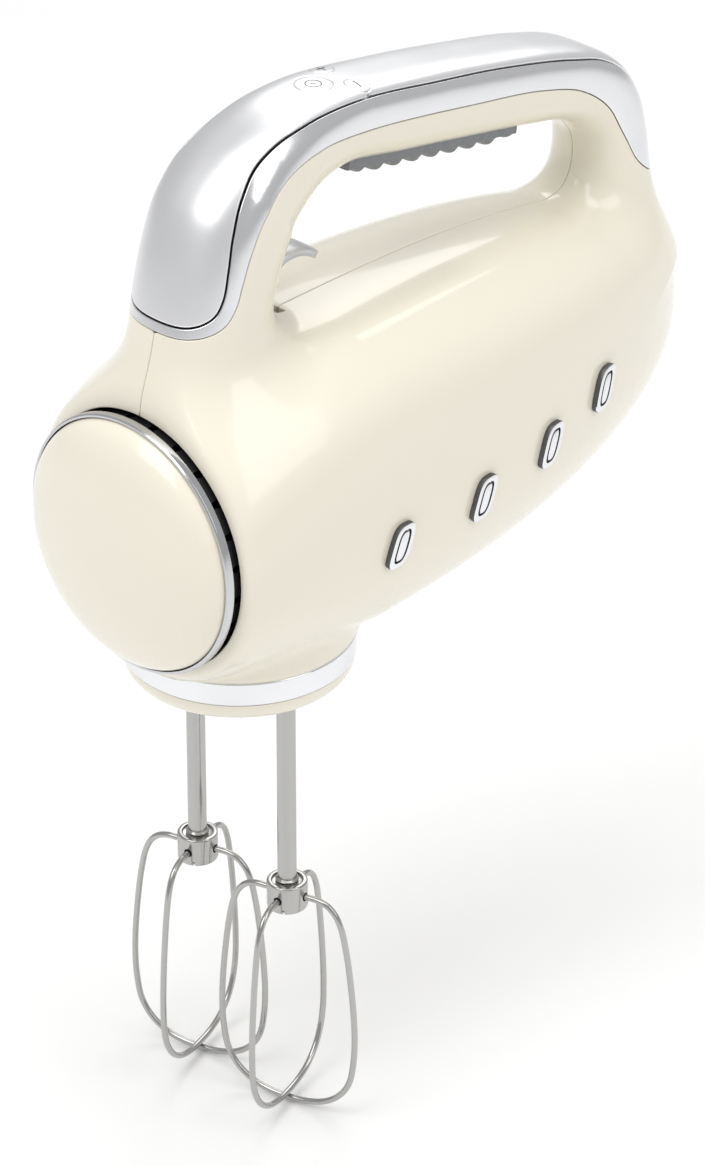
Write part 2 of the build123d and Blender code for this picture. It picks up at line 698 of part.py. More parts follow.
def cord_gland():
    """Rubber grommet in the rear wall that the mains cord would leave through."""
    return turned_x([(150.0, CORD_BORE_R), (150.0, 5.6), (158.0, GLAND_R), (160.0, 9.4), (162.5, 9.4),
                     (162.5, GLAND_R), (GLAND_LIP_X, GLAND_R), (GLAND_LIP_X, 8.4), (GLAND_LIP_X + 0.9, 8.4),
                     (GLAND_LIP_X + 1.6, 7.6), (GLAND_LIP_X + 1.6, CORD_BORE_R)], CORD_Z)


# --- emblem studs -------------------------------------------------------------------------
def emblem_studs():
    """Plain lozenges set on both flanks, following the body's curve."""
    skin = half_body(-STUD_T) - half_body(-0.02)
    studs = []
    for x, z in STUDS:
        blank = Pos(x, 50.0, z) * Rot(90, 0, 0) * extrude(SlotOverall(STUD_H, STUD_W, rotation=72), 30)
        studs += both_sides(skin & blank)
    return studs


# --- ejector ------------------------------------------------------------------------------
def ejector_lever():
    """Thumb tongue behind the front pillar, its arm, and the shoe that fills the slot below it."""
    top = Spline((7.5, 115.4), (13.0, 117.4), (19.0, 117.6), (24.0, 115.6), (27.5, 112.0))
    tip = Line((27.5, 112.0), (25.4, 110.4))
    under = Spline((25.4, 110.4), (22.0, 113.2), (18.0, 114.6), (13.0, 114.2), (7.5, 111.6))
    root = Line((7.5, 111.6), (7.5, 115.4))
    outline = Plane.XZ * make_face([top, tip, under, root])
    tongue = extrude(outline, LEVER_HALF_Y, both=True)
    arm = box((-4.0, 9.0), (-LEVER_ARM_Y, LEVER_ARM_Y), (LEVER_Z - LEVER_T / 2, LEVER_Z + LEVER_T / 2))
    shoe_line = [(0.0, 114.7), (4.6, 114.7), (4.4, 106.0), (6.2, 102.2), (12.6, 99.4), (12.6, 97.4),
                 (5.0, 99.2), (0.0, 104.0)]
    shoe = extrude(Plane.XZ * make_face(Polyline(shoe_line, close=True)), LEVER_ARM_Y, both=True)
    corners = box((20.0, 30.0), (-10, 10), (100, 125)) - Pos(20.0, 0, 112) * Cylinder(LEVER_HALF_Y + 0.9, 30)
    return tongue - corners + arm + shoe


def ejector_rod():
    return box((-4.0, 0.0), (-LEVER_ARM_Y, LEVER_ARM_Y), (YOKE_Z + 4.0, LEVER_Z - LEVER_T / 2))


def ejector_yoke():
    """Cross bar that bears on both ejector pins."""
    bar = box((-4.0, 4.0), (-BEATER_Y - 4.0, BEATER_Y + 4.0), (YOKE_Z, YOKE_Z + 4.0))
    return fillet(bar.edges().filter_by(Axis.Z), 2.5)


def ejector_spring():
    low = UPPER_PLATE_Z + PLATE + SPRING_WIRE_R
    height = YOKE_Z - low - SPRING_WIRE_R
    path = Helix(pitch=height / 5, height=height, radius=4.0)
    ring = Plane(origin=(4.0, 0, 0), x_dir=(1, 0, 0), z_dir=(0, 1, 0)) * Circle(SPRING_WIRE_R)
    return Pos(0, 0, low) * sweep(ring, path=path, is_frenet=True)


def ejector_pin(y):
    """Push pin in the spindle's bore, with a head under the yoke."""
    stem = rod_z((SHAFT_TOP_Z + 0.1, YOKE_Z - 1.6), SHAFT_R, 0, y)
    return stem + rod_z((YOKE_Z - 1.8, YOKE_Z - 0.3), 3.8, 0, y)


# --- beaters ------------------------------------------------------------------------------
def beater_shaft(y):
    bottom = HUB_TOP_Z - HUB_H
    shaft = rod_z((bottom, SHAFT_TOP_Z), SHAFT_R, 0, y)
    shaft = chamfer(shaft.faces().sort_by(Axis.Z)[-1].edges(), 0.6)
    return shaft + box((-3.9, 3.9), (y - 0.75, y + 0.75), (SPINDLE_Z[0] + 0.2, WING_TOP_Z))


def beater_hub(y):
    hub = tube_z((HUB_TOP_Z - HUB_H, HUB_TOP_Z), HUB_R, SHAFT_R, 0, y)
    hub = chamfer(hub.edges().filter_by(GeomType.CIRCLE).filter_by(lambda e: e.radius > 5), 0.5)
    hub -= tube_z((HUB_TOP_Z - 0.8, HUB_TOP_Z + 1), 4.5, 3.6, 0, y)
    for k in range(2):
        hole = Pos(0, y, WIRE_EXIT_Z) * spun(Rot(0, 90, 0) * Cylinder(WIRE_R, 14), WIRE_TURN_DEG + 90 * k)
        hub -= hole - rod_z((-100, 0), 4.0, 0, y)
    return hub


def beater_wire(bottom):
    """One bent wire: out of the hub, down, across under the hub's axis and back up."""
    side = [(4.0, WIRE_EXIT_Z), (12.4, WIRE_EXIT_Z), (17.6, -81.0), (20.6, -97.0), (21.2, -118.0),
            (18.6, -133.5), (11.0, bottom + 1.6)]
    route = side + [(0.0, bottom)] + [(-r, z) for r, z in reversed(side)]
    radii = [5.0, 12.0, 40.0, 30.0, 12.0, 12.0, 20.0, 12.0, 12.0, 30.0, 40.0, 12.0, 5.0]
    path = FilletPolyline([Vector(r, 0, z) for r, z in route], radius=radii)
    ring = Plane(origin=(route[0][0], 0, route[0][1]), x_dir=(0, 1, 0), z_dir=(1, 0, 0)) * Circle(WIRE_R)
    return sweep(ring, path=path)


def beater_wires(y):
    wires = []
    for k in range(2):
        bent = beater_wire(WIRE_BOTTOM_Z[k])
        wires.append(Pos(0, y, 0) * spun(bent, WIRE_TURN_DEG + 90 * k))
    return wires


# --- writing ------------------------------------------------------------------------------
def pieces():
    made = {
        "housing_left": housing_left(),
        "housing_right": housing_right(),
        "housing_screws": housing_screws(),
        "handle_panel": handle_panel(),
        "handle_trim": handle_trim(),
        "grip_insert": grip_insert(),
        "front_cap": front_cap(),
        "front_ring": front_ring(),
        "vent_baffle": vent_baffle(),
        "collar_ring": collar_ring(),
        "bottom_cap": bottom_cap(),
        "emblem_studs": emblem_studs(),
        "cord_gland": cord_gland(),
        "gearbox_frame": gearbox_frame(),
        "frame_screws": frame_screws(),
        "spindle_bushes": spindle_bushes(),
        "shaft_bearings": shaft_bearings(),
        "motor_stator": motor_stator(),
        "field_coils": field_coils(),
        "motor_bracket": motor_bracket(),
        "brush_holders": brush_holders(),
        "carbon_brushes": carbon_brushes(),
        "power_board": power_board(),
        "noise_capacitor": noise_capacitor(),
        "control_board": control_board(),
        "tact_switches": tact_switches(),
        "motor_shaft": motor_shaft(),
        "worm": worm(),
        "armature_core": armature_core(),
        "armature_windings": armature_windings(),
        "commutator": commutator(),
        "cooling_fan": cooling_fan(),
        "ejector_lever": ejector_lever(),
        "ejector_rod": ejector_rod(),
        "ejector_yoke": ejector_yoke(),
        "ejector_spring": ejector_spring(),
    }
    for name, (x, y, r) in BUTTONS.items():
        made[name] = button(x, y, r)
    for side, y in (("left", BEATER_Y), ("right", -BEATER_Y)):
        made["spindle_" + side] = spindle(y)
        made["worm_gear_" + side] = worm_gear(y)
        made["ejector_pin_" + side] = ejector_pin(y)
        made["beater_shaft_" + side] = beater_shaft(y)
        made["beater_hub_" + side] = beater_hub(y)
        made["beater_wires_" + side] = beater_wires(y)
    return made


def main():
    os.makedirs("parts", exist_ok=True)
    to_origin = Pos(*(-v for v in GRIP_CENTRE))
    for name, shape in pieces().items():
        solids = shape if isinstance(shape, list) else [shape]
        moved = [to_origin * s for s in solids]
        result = moved[0] if len(moved) == 1 else Compound(children=moved)
        export_step(result, os.path.join("parts", name + ".step"))


if __name__ == "__main__":
    main()
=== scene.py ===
import math
import bmesh
import bpy
import numpy as np
from mathutils import Matrix, Vector


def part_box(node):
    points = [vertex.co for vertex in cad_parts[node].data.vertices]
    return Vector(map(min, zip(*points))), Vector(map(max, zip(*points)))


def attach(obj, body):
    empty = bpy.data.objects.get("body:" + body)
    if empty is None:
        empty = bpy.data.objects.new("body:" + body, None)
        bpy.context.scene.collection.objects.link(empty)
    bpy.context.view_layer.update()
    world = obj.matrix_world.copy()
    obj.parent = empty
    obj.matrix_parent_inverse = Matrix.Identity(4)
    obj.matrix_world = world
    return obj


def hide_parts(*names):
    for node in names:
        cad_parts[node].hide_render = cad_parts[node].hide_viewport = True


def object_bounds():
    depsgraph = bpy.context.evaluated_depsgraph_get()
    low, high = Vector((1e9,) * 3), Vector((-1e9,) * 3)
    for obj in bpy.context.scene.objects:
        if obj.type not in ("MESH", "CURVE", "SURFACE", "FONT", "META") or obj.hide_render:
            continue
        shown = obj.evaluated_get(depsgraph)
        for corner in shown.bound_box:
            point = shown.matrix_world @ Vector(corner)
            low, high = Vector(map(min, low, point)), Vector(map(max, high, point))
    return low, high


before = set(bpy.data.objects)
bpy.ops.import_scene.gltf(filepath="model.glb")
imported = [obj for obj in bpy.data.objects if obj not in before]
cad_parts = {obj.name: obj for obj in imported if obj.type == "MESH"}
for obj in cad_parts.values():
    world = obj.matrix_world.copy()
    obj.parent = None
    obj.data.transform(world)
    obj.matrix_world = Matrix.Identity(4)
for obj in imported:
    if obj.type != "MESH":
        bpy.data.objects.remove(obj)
cad_low, cad_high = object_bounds()

# Lengths here are millimetres about the point midway between the beaters at the collar's lower
# edge: -X is the domed front, +Y the mixer's left, +Z up.  place() turns them into the frame's metres.
_ring_low, _ring_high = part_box("collar_ring")
ORIGIN = np.array([(_ring_low.x + _ring_high.x) / 2, (_ring_low.y + _ring_high.y) / 2, _ring_low.z]) * 1000


def node_box(name):
    low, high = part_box(name)
    return np.array(low) * 1000 - ORIGIN, np.array(high) * 1000 - ORIGIN


def place(points):
    return (np.asarray(points, float) + ORIGIN) / 1000


# --- sizes, read from the frame where a CAD node has them
SHELL_LOW, SHELL_HIGH = node_box("housing_left")
RING_LOW, RING_HIGH = node_box("front_ring")
CAP_LOW, CAP_HIGH = node_box("front_cap")
COLLAR_LOW, COLLAR_HIGH = node_box("collar_ring")
DISH_LOW, DISH_HIGH = node_box("bottom_cap")
GLAND_LOW, GLAND_HIGH = node_box("cord_gland")

RIM_X = SHELL_LOW[0]
TAIL_X = GLAND_HIGH[0] - 1.0
NOSE_Z = (RING_LOW[2] + RING_HIGH[2]) / 2
RING_R = (RING_HIGH[2] - RING_LOW[2]) / 2
CAP_R = RING_R - 1.15
COLLAR_R = (COLLAR_HIGH[0] - COLLAR_LOW[0]) / 2
COLLAR_H = COLLAR_HIGH[2]
BODY_HALF_WIDTH = SHELL_HIGH[1]
BODY_HALF_HEIGHT = 47.2
BODY_MID_Z = 52.1
BODY_WIDEST_X = 22.0
TAIL_RISE = 2.5
SECTION_POWER = 2.9
TAIL_SOFTER = 0.64
NOSE_SOFTER = 0.9
TAIL_POWER_PLAN = 2.12
TAIL_POWER_SIDE = 2.47
NOSE_DRAW = 0.99
RIM_R = 38.3
RIM_SLOPE = 4.0
LIP_BACK = 0.3
UNDERSIDE_Z = COLLAR_H + 0.2
NECK_TOP_Z = 40.0
HANDLE_BLEND = 13.0
NECK_BLEND = 2.5
RIM_BLEND = 2.4

# side view of the handle: its outer line and the line of its underside, foot to foot
OUTER_LINE = [
    (-38.5, 52.0), (-36.6, 74.0), (-33.8, 93.0), (-31.4, 107.0), (-29.0, 117.5), (-25.0, 130.0),
    (-19.0, 142.5), (-8.0, 153.0), (8.0, 159.0), (27.0, 160.5), (60.0, 156.1), (92.5, 149.6),
    (116.0, 144.0), (133.0, 138.0), (145.5, 129.3), (152.5, 118.0), (155.4, 107.0), (157.2, 97.0),
    (160.0, 85.0), (163.5, 70.0), (166.0, 56.0),
]
UNDER_LINE = [
    (5.5, 60.0), (5.5, 80.0), (5.3, 96.0), (5.0, 105.0), (5.5, 112.5), (8.3, 120.5), (13.0, 127.2),
    (18.5, 132.0), (25.0, 135.4), (32.0, 136.6), (56.5, 132.2), (88.0, 126.0), (108.5, 121.8),
    (120.5, 119.0), (129.0, 115.0), (133.3, 109.5), (134.2, 104.4), (133.5, 96.0), (131.0, 84.0),
    (128.0, 70.0), (126.0, 56.0),
]
# half width and squareness of the outer half along the outer line: share of its length, width, power
HANDLE_WIDTHS = [
    (0.0, 21.0, 2.1), (0.11, 19.6, 2.1), (0.16, 18.8, 2.2), (0.20, 18.4, 2.3), (0.25, 18.4, 2.4),
    (0.30, 18.0, 2.6), (0.345, 16.2, 2.9), (0.40, 14.4, 3.4), (0.46, 13.2, 3.8), (0.56, 12.9, 3.8),
    (0.74, 12.6, 3.8), (0.80, 12.8, 3.6), (0.84, 13.2, 3.4), (0.875, 14.0, 3.0), (0.91, 15.2, 2.6),
    (1.0, 17.0, 2.3),
]
UNDER_POWER = 2.3
HANDLE_CUT_Z = 72.0
# side view of the silver cover's edge and of the trim band's lower edge, tongue to rear
PANEL_LINE = [
    (-40.0, 110.6), (-34.0, 111.4), (-30.4, 112.2), (-26.4, 113.6), (-22.6, 116.4), (-20.4, 120.4),
    (-18.2, 128.1), (-15.6, 137.0), (-11.5, 144.9), (-5.2, 151.4), (3.8, 155.5), (14.6, 157.6),
    (26.6, 158.1), (39.4, 157.1), (65.4, 152.5), (92.4, 147.2), (121.2, 139.8), (135.6, 134.4),
    (147.0, 125.4), (151.8, 114.7), (154.4, 105.5), (158.5, 101.0), (166.0, 99.0),
]
TRIM_LINE = [
    (-40.0, 108.6), (-34.0, 109.0), (-30.8, 109.4), (-25.6, 110.6), (-20.6, 113.2), (-17.2, 117.6),
    (-14.9, 123.4), (-11.8, 130.8), (-7.2, 138.2), (-0.9, 144.2), (7.6, 148.2), (20.0, 149.9),
    (41.0, 147.9), (79.0, 141.3), (108.0, 135.4), (124.0, 129.6), (135.4, 120.6), (142.0, 109.5),
    (147.4, 100.0), (154.6, 94.6), (166.0, 92.6),
]
JOINT_GAP = 0.22
CELL = 1.15


# --- curves and tables
def smooth_curve(points, per_span=20):
    """Cubic curve through the points, with even tangents, as many points per span."""
    p = np.asarray(points, float)
    t = np.concatenate([[0], np.cumsum(np.linalg.norm(np.diff(p, axis=0), axis=1) ** 0.75)])
    m = np.gradient(p, t, axis=0)
    made = []
    for k in range(len(p) - 1):
        s = np.linspace(0, 1, per_span, endpoint=False)[:, None]
        d = t[k + 1] - t[k]
        made.append((2 * s ** 3 - 3 * s ** 2 + 1) * p[k] + (s ** 3 - 2 * s ** 2 + s) * d * m[k]
                    + (3 * s ** 2 - 2 * s ** 3) * p[k + 1] + (s ** 3 - s ** 2) * d * m[k + 1])
    return np.vstack(made + [p[-1:]])


class SideTable:
    """Signed distance to a side-view curve, positive on its right hand, and the share of the
    curve's length at the nearest point, both read smoothly from a grid."""
    STEP = 0.8
    LOW = (-64.0, 58.0)
    COUNT = (316, 142)

    def __init__(self, points):
        line = smooth_curve(points)
        gx = self.LOW[0] + self.STEP * np.arange(self.COUNT[0])
        gz = self.LOW[1] + self.STEP * np.arange(self.COUNT[1])
        self.distance = np.empty(self.COUNT)
        self.share = np.empty(self.COUNT)
        a, b = line[:-1], line[1:]
        ab = b - a
        length = np.linalg.norm(ab, axis=1)
        run = np.concatenate([[0], np.cumsum(length)])
        for i, x in enumerate(gx):
            p = np.stack([np.full(len(gz), x), gz], 1)[:, None, :]
            t = np.clip(((p - a) * ab).sum(2) / (length ** 2), 0, 1)
            off = p - (a + ab * t[..., None])
            d = np.linalg.norm(off, axis=2)
            k = d.argmin(1)
            rows = np.arange(len(gz))
            side = ab[k, 1] * off[rows, k, 0] - ab[k, 0] * off[rows, k, 1]
            self.distance[i] = np.where(side >= 0, 1, -1) * d[rows, k]
            self.share[i] = (run[k] + t[rows, k] * length[k]) / run[-1]

    def read(self, x, z, table):
        u = np.clip((x - self.LOW[0]) / self.STEP, 1, self.COUNT[0] - 2.001)
        v = np.clip((z - self.LOW[1]) / self.STEP, 1, self.COUNT[1] - 2.001)
        u, v = np.broadcast_arrays(u, v)
        i = u.astype(int)
        j = v.astype(int)
        wu = self.weights(u - i)
        wv = self.weights(v - j)
        total = 0.0
        for a in range(4):
            for b in range(4):
                total = total + wu[a] * wv[b] * table[i + a - 1, j + b - 1]
        return total

    @staticmethod
    def weights(t):
        return ((-t ** 3 + 2 * t ** 2 - t) / 2, (3 * t ** 3 - 5 * t ** 2 + 2) / 2,
                (-3 * t ** 3 + 4 * t ** 2 + t) / 2, (t ** 3 - t ** 2) / 2)

    def __call__(self, x, z):
        return self.read(x, z, self.distance)

    def along(self, x, z):
        return self.read(x, z, self.share)


outer_side = SideTable(OUTER_LINE)
under_side = SideTable(UNDER_LINE)
panel_side = SideTable(PANEL_LINE)
trim_side = SideTable(TRIM_LINE)


# --- the shell's form, as a distance field
def smooth_min(a, b, k):
    h = np.clip(0.5 + 0.5 * (b - a) / k, 0, 1)
    return b + (a - b) * h - k * h * (1 - h)


def smooth_max(a, b, k):
    return -smooth_min(-a, -b, k)


def body_ratio(x, y, z):
    """1 on the body's surface, less inside: superellipse sections that close to a round tail and
    draw in towards the nose's rim."""
    behind = np.maximum((x - BODY_WIDEST_X) / (TAIL_X - BODY_WIDEST_X), 0)
    ahead = np.clip((BODY_WIDEST_X - x) / (BODY_WIDEST_X - RIM_X), 0, 1.04)
    draw = 1 - (1 - (NOSE_DRAW * np.minimum(ahead, 1)) ** 2.5) ** 0.4
    height = BODY_HALF_HEIGHT - (BODY_HALF_HEIGHT - RIM_R) * draw
    width = BODY_HALF_WIDTH - (BODY_HALF_WIDTH - RIM_R) * draw
    middle = BODY_MID_Z + TAIL_RISE * behind ** 2 + (NOSE_Z - BODY_MID_Z) * ahead ** 2
    n = SECTION_POWER - TAIL_SOFTER * np.minimum(behind, 1) - NOSE_SOFTER * ahead
    u = np.abs(y) / width + 1e-6
    v = np.abs(z - middle) / height + 1e-6
    p = (TAIL_POWER_PLAN * u ** 2 + TAIL_POWER_SIDE * v ** 2) / (u ** 2 + v ** 2)
    section = (u ** n + v ** n) ** (1 / n)
    return (section ** p + behind ** p) ** (1 / p)


def body_field(x, y, z):
    e = 0.05
    here = body_ratio(x, y, z)
    slope = np.sqrt((body_ratio(x + e, y, z) - here) ** 2 + (body_ratio(x, y + e, z) - here) ** 2
                    + (body_ratio(x, y, z + e) - here) ** 2) / e
    return (here - 1) / np.maximum(slope, 0.004)


SHARES, WIDTHS, POWERS = np.array(HANDLE_WIDTHS).T


def handle_field(x, y, z):
    below_outer = outer_side(x, z)
    above_under = -under_side(x, z)
    half_depth = np.maximum((below_outer + above_under) / 2, 4.0)
    u = (above_under - below_outer) / (2 * half_depth)
    share = outer_side.along(x, z)
    width = np.interp(share, SHARES, WIDTHS)
    power = np.where(u > 0, np.interp(share, SHARES, POWERS), UNDER_POWER)
    across = np.abs(y) / width + 1e-6
    ratio = (across ** power + (np.abs(u) + 1e-6) ** power) ** (1 / power)
    reach = np.sqrt(y ** 2 + (u * half_depth) ** 2) + 1e-6
    return np.maximum(reach * (1 - 1 / ratio), HANDLE_CUT_Z - z)


def shell_field(x, y, z):
    form = smooth_min(body_field(x, y, z), handle_field(x, y, z), HANDLE_BLEND)
    neck = smooth_max(np.hypot(x, y) - COLLAR_R, z - NECK_TOP_Z, 2.0)
    form = smooth_min(form, neck, NECK_BLEND)
    behind_rim = RIM_SLOPE * (x - RIM_X)
    rim = (np.hypot(y, z - NOSE_Z) - RIM_R - behind_rim) / math.hypot(1, RIM_SLOPE)
    form = smooth_max(form, rim, RIM_BLEND)
    form = smooth_max(form, UNDERSIDE_Z - z, 0.5)
    return smooth_max(form, RIM_X - x, 1.6)


def gradient(points, e=0.08):
    """Slope of the shell's field at each point, which points outward."""
    x, y, z = points.T
    return np.stack([shell_field(x + e, y, z) - shell_field(x - e, y, z),
                     shell_field(x, y + e, z) - shell_field(x, y - e, z),
                     shell_field(x, y, z + e) - shell_field(x, y, z - e)], 1) / (2 * e)


def onto_form(points, rounds):
    """Points moved along the slope onto the form's surface."""
    for _ in range(rounds):
        g = gradient(points)
        step = (shell_field(*points.T) / np.maximum((g ** 2).sum(1), 0.05))[:, None] * g
        points = points - np.clip(step, -0.8, 0.8)
    return points


def unit(v):
    return v / np.maximum(np.linalg.norm(v, axis=1), 1e-9)[:, None]


def creased(points):
    """Points beside the sharp edge round the shell's flat underside, moved onto that edge."""
    e = 0.05
    low = points[:, 2] < UNDERSIDE_Z + 0.75 * CELL
    edge = points[low].copy()
    edge[:, 2] = UNDERSIDE_Z + 0.6
    for _ in range(6):
        x, y, z = edge.T
        here = shell_field(x, y, z)
        g = np.stack([shell_field(x + e, y, z) - here, shell_field(x, y + e, z) - here], 1) / e
        step = here[:, None] * g / np.maximum((g ** 2).sum(1), 0.2)[:, None]
        edge[:, :2] -= np.clip(step, -1, 1)
    edge[:, 2] = UNDERSIDE_Z
    near = np.linalg.norm(edge[:, :2] - points[low][:, :2], axis=1) < 0.75 * CELL
    picked = np.flatnonzero(low)[near]
    seam = points[picked, 1] < 1e-6
    points[picked] = edge[near]
    points[picked[seam], 1] = 0
    return points


# --- surface net of the left half
def stepped(cells, one, back_one, two, back_two):
    """Cells moved back along two axes."""
    moved = cells.copy()
    moved[:, one] -= back_one
    moved[:, two] -= back_two
    return moved


def left_skin():
    """Even quads on the form for Y >= 0, with a row of points on Y = 0."""
    xs = np.arange(RIM_X - 3.3, TAIL_X + 3.5, CELL)
    ys = np.arange(-0.5, (BODY_HALF_WIDTH + 3) / CELL) * CELL
    zs = np.arange(3.0, 166.0, CELL)
    value = shell_field(xs[:, None, None], ys[None, :, None], zs[None, None, :])
    value = np.broadcast_to(value, (len(xs), len(ys), len(zs)))
    shape = tuple(n - 1 for n in value.shape)
    total = np.zeros(shape + (3,))
    count = np.zeros(shape)
    axes = (xs, ys, zs)
    quads = []
    index = np.arange(np.prod(shape)).reshape(shape)
    for axis in range(3):
        low = [slice(None)] * 3
        high = [slice(None)] * 3
        low[axis] = slice(0, -1)
        high[axis] = slice(1, None)
        a = value[tuple(low)]
        b = value[tuple(high)]
        crossed = np.argwhere((a < 0) != (b < 0))
        va = a[tuple(crossed.T)]
        vb = b[tuple(crossed.T)]
        at = np.stack([axes[k][crossed[:, k]] for k in range(3)], 1)
        at[:, axis] += CELL * va / (va - vb)
        one, two = [k for k in range(3) if k != axis]
        for d1 in (0, 1):
            for d2 in (0, 1):
                cell = stepped(crossed, one, d1, two, d2)
                ok = ((cell >= 0) & (cell < shape)).all(1)
                np.add.at(total, tuple(cell[ok].T), at[ok])
                np.add.at(count, tuple(cell[ok].T), 1)
        ok = (crossed[:, one] > 0) & (crossed[:, two] > 0)
        ok &= (crossed[:, one] < shape[one]) & (crossed[:, two] < shape[two])
        ring = np.stack([index[tuple(stepped(crossed[ok], one, d1, two, d2).T)]
                         for d1, d2 in ((1, 1), (0, 1), (0, 0), (1, 0))], 1)
        flip = (va[ok] < 0) == (axis == 1)
        ring[flip] = ring[flip][:, ::-1]
        quads.append(ring)
    quads = np.vstack(quads)
    used, quads = np.unique(quads, return_inverse=True)
    quads = quads.reshape(-1, 4)
    points = total.reshape(-1, 3)[used] / count.reshape(-1)[used][:, None]
    seam = points[:, 1] < 0.3 * CELL
    edges = np.vstack([quads[:, [k, (k + step) % 4]] for k in range(4) for step in (1, 3)])
    near = np.bincount(edges[:, 0])
    for _ in range(3):
        spread = np.zeros_like(points)
        np.add.at(spread, edges[:, 0], points[edges[:, 1]])
        points = 0.5 * points + 0.5 * spread / near[:, None]
        points[seam, 1] = 0
        points = onto_form(points, 2)
        points[seam, 1] = 0
    return creased(points), quads


def mirrored(points):
    return points * [1, -1, 1]


def full_skin(points, quads):
    """The left half joined to its mirror image along the row of points on Y = 0."""
    seam = np.abs(points[:, 1]) < 1e-6
    other = np.where(seam, np.arange(len(points)), 0)
    other[~seam] = len(points) + np.arange((~seam).sum())
    return np.vstack([points, mirrored(points[~seam])]), np.vstack([quads, other[quads][:, ::-1]])


# --- cutting pieces out of the skin
class Sheet:
    """Part of the skin, cut along lines where a function of place is 0, and given a rounded edge,
    a wall and an inner face."""

    def __init__(self, points, quads):
        self.points = points
        self.faces = [tuple(q) for q in quads]
        self.cuts = []
        self.on = []

    def level(self, cut, points, normals=None):
        """Distance along the surface to the cut's line, positive on the side that stays."""
        e = 0.05
        here = cut(*points.T)
        g = np.stack([cut(*(points + step).T) - here for step in np.eye(3) * e], 1) / e
        n = unit(gradient(points)) if normals is None else normals
        t = g - (g * n).sum(1)[:, None] * n
        return here / np.maximum(np.linalg.norm(t, axis=1), 0.08), t, n

    def settle(self, points, cut, edge):
        for _ in range(4):
            d, t, _ = self.level(cut, points)
            points = points - np.clip((d - edge)[:, None] * unit(t), -1, 1)
            points = onto_form(points, 1)
        return points

    def cut(self, cut, edge):
        """Keeps what is more than edge inside the cut's line."""
        near = np.abs(cut(*self.points.T)) < 6 * CELL
        value = np.sign(cut(*self.points.T)) * 99.0
        d, _, _ = self.level(cut, self.points[near])
        value[near] = d - edge
        snap = np.abs(value) < 0.3 * CELL
        self.points[snap] = self.settle(self.points[snap], cut, edge)
        value[snap] = 0
        kept = []
        born = {}
        fresh = []
        count = len(self.points)
        for face in self.faces:
            v = value[list(face)]
            if v.min() >= 0 and v.max() > 0:
                kept.append(face)
                continue
            if v.max() <= 0:
                continue
            made = []
            for k, a in enumerate(face):
                b = face[(k + 1) % len(face)]
                if value[a] >= 0:
                    made.append(a)
                if value[a] * value[b] < 0:
                    key = (min(a, b), max(a, b))
                    if key not in born:
                        s = value[a] / (value[a] - value[b])
                        born[key] = count + len(fresh)
                        fresh.append(self.points[a] * (1 - s) + self.points[b] * s)
                    made.append(born[key])
            if len(made) > 2:
                kept.append(tuple(made))
        if fresh:
            self.points = np.vstack([self.points, self.settle(np.array(fresh), cut, edge)])
        flag = np.zeros(len(self.points), bool)
        flag[:count][snap] = True
        flag[count:] = True
        self.on = [np.concatenate([f, np.zeros(len(self.points) - len(f), bool)]) for f in self.on] + [flag]
        self.cuts.append(cut)
        self.faces = kept

    def solid(self, name, edge, thickness, lift=0.0, flip=False, steps=3):
        """A closed mesh: outer face, edge rounded by a radius, wall and inner face."""
        used = np.unique(np.concatenate([np.array(f) for f in self.faces]))
        lookup = np.full(len(self.points), -1)
        lookup[used] = np.arange(len(used))
        points = self.points[used]
        faces = [tuple(int(lookup[v]) for v in f) for f in self.faces]
        normals = unit(gradient(points))
        outward = np.zeros_like(points)
        for cut, flag in zip(self.cuts, self.on):
            mine = flag[used]
            if mine.any():
                _, t, _ = self.level(cut, points[mine], normals[mine])
                outward[mine] -= unit(t)
        ends = dict.fromkeys((a, f[(k + 1) % len(f)]) for f in faces for k, a in enumerate(f))
        rim = [(a, b) for a, b in ends if (b, a) not in ends]
        rim_points = sorted({v for e in rim for v in e})
        n = len(points)
        base = points + normals * lift
        rows = [base]
        row_of = {v: k for k, v in enumerate(rim_points)}
        index = np.array(rim_points)
        for k in range(1, steps + 1):
            a = math.pi / 2 * k / steps
            rows.append(base[index] + outward[index] * edge * math.sin(a)
                        - normals[index] * edge * (1 - math.cos(a)))
        inner = base - normals * thickness
        inner[index] = base[index] + outward[index] * edge - normals[index] * thickness
        rows.append(inner)
        starts = [n + k * len(rim_points) for k in range(steps + 1)]
        vertices = np.vstack(rows)
        all_faces = list(faces)
        corner = [normals[v] for f in faces for v in f]

        def at(row, v):
            if row == 0:
                return v
            return starts[-1] + v if row > steps else starts[row - 1] + row_of[v]

        for k in range(steps + 1):
            a0 = math.pi / 2 * k / steps
            a1 = math.pi / 2 * min(k + 1, steps) / steps
            for a, b in rim:
                all_faces.append((at(k, b), at(k, a), at(k + 1, a), at(k + 1, b)))
                for v, ang in ((b, a0), (a, a0), (a, a1), (b, a1)):
                    corner.append(normals[v] * math.cos(ang) + outward[v] * math.sin(ang))
        for f in faces:
            all_faces.append(tuple(starts[-1] + v for v in f[::-1]))
            corner += [-normals[v] for v in f[::-1]]
        corner = np.array(corner)
        if flip:
            vertices = mirrored(vertices)
            corner = mirrored(corner)
            cursor = 0
            for k, f in enumerate(all_faces):
                corner[cursor:cursor + len(f)] = corner[cursor:cursor + len(f)][::-1]
                all_faces[k] = f[::-1]
                cursor += len(f)
        ob = mesh_object(name, vertices, all_faces)
        ob.data.polygons.foreach_set("use_smooth", [True] * len(all_faces))
        ob.data.normals_split_custom_set([Vector(c) for c in unit(corner)])
        # the wall and the inner face take the second material, painted shade inside the joints
        painted_shade_faces = np.zeros(len(all_faces), int)
        painted_shade_faces[len(faces) + steps * len(rim):] = 1
        ob.data.polygons.foreach_set("material_index", painted_shade_faces)
        return ob


def add_object(name, data):
    ob = bpy.data.objects.new(name, data)
    bpy.context.scene.collection.objects.link(ob)
    return ob


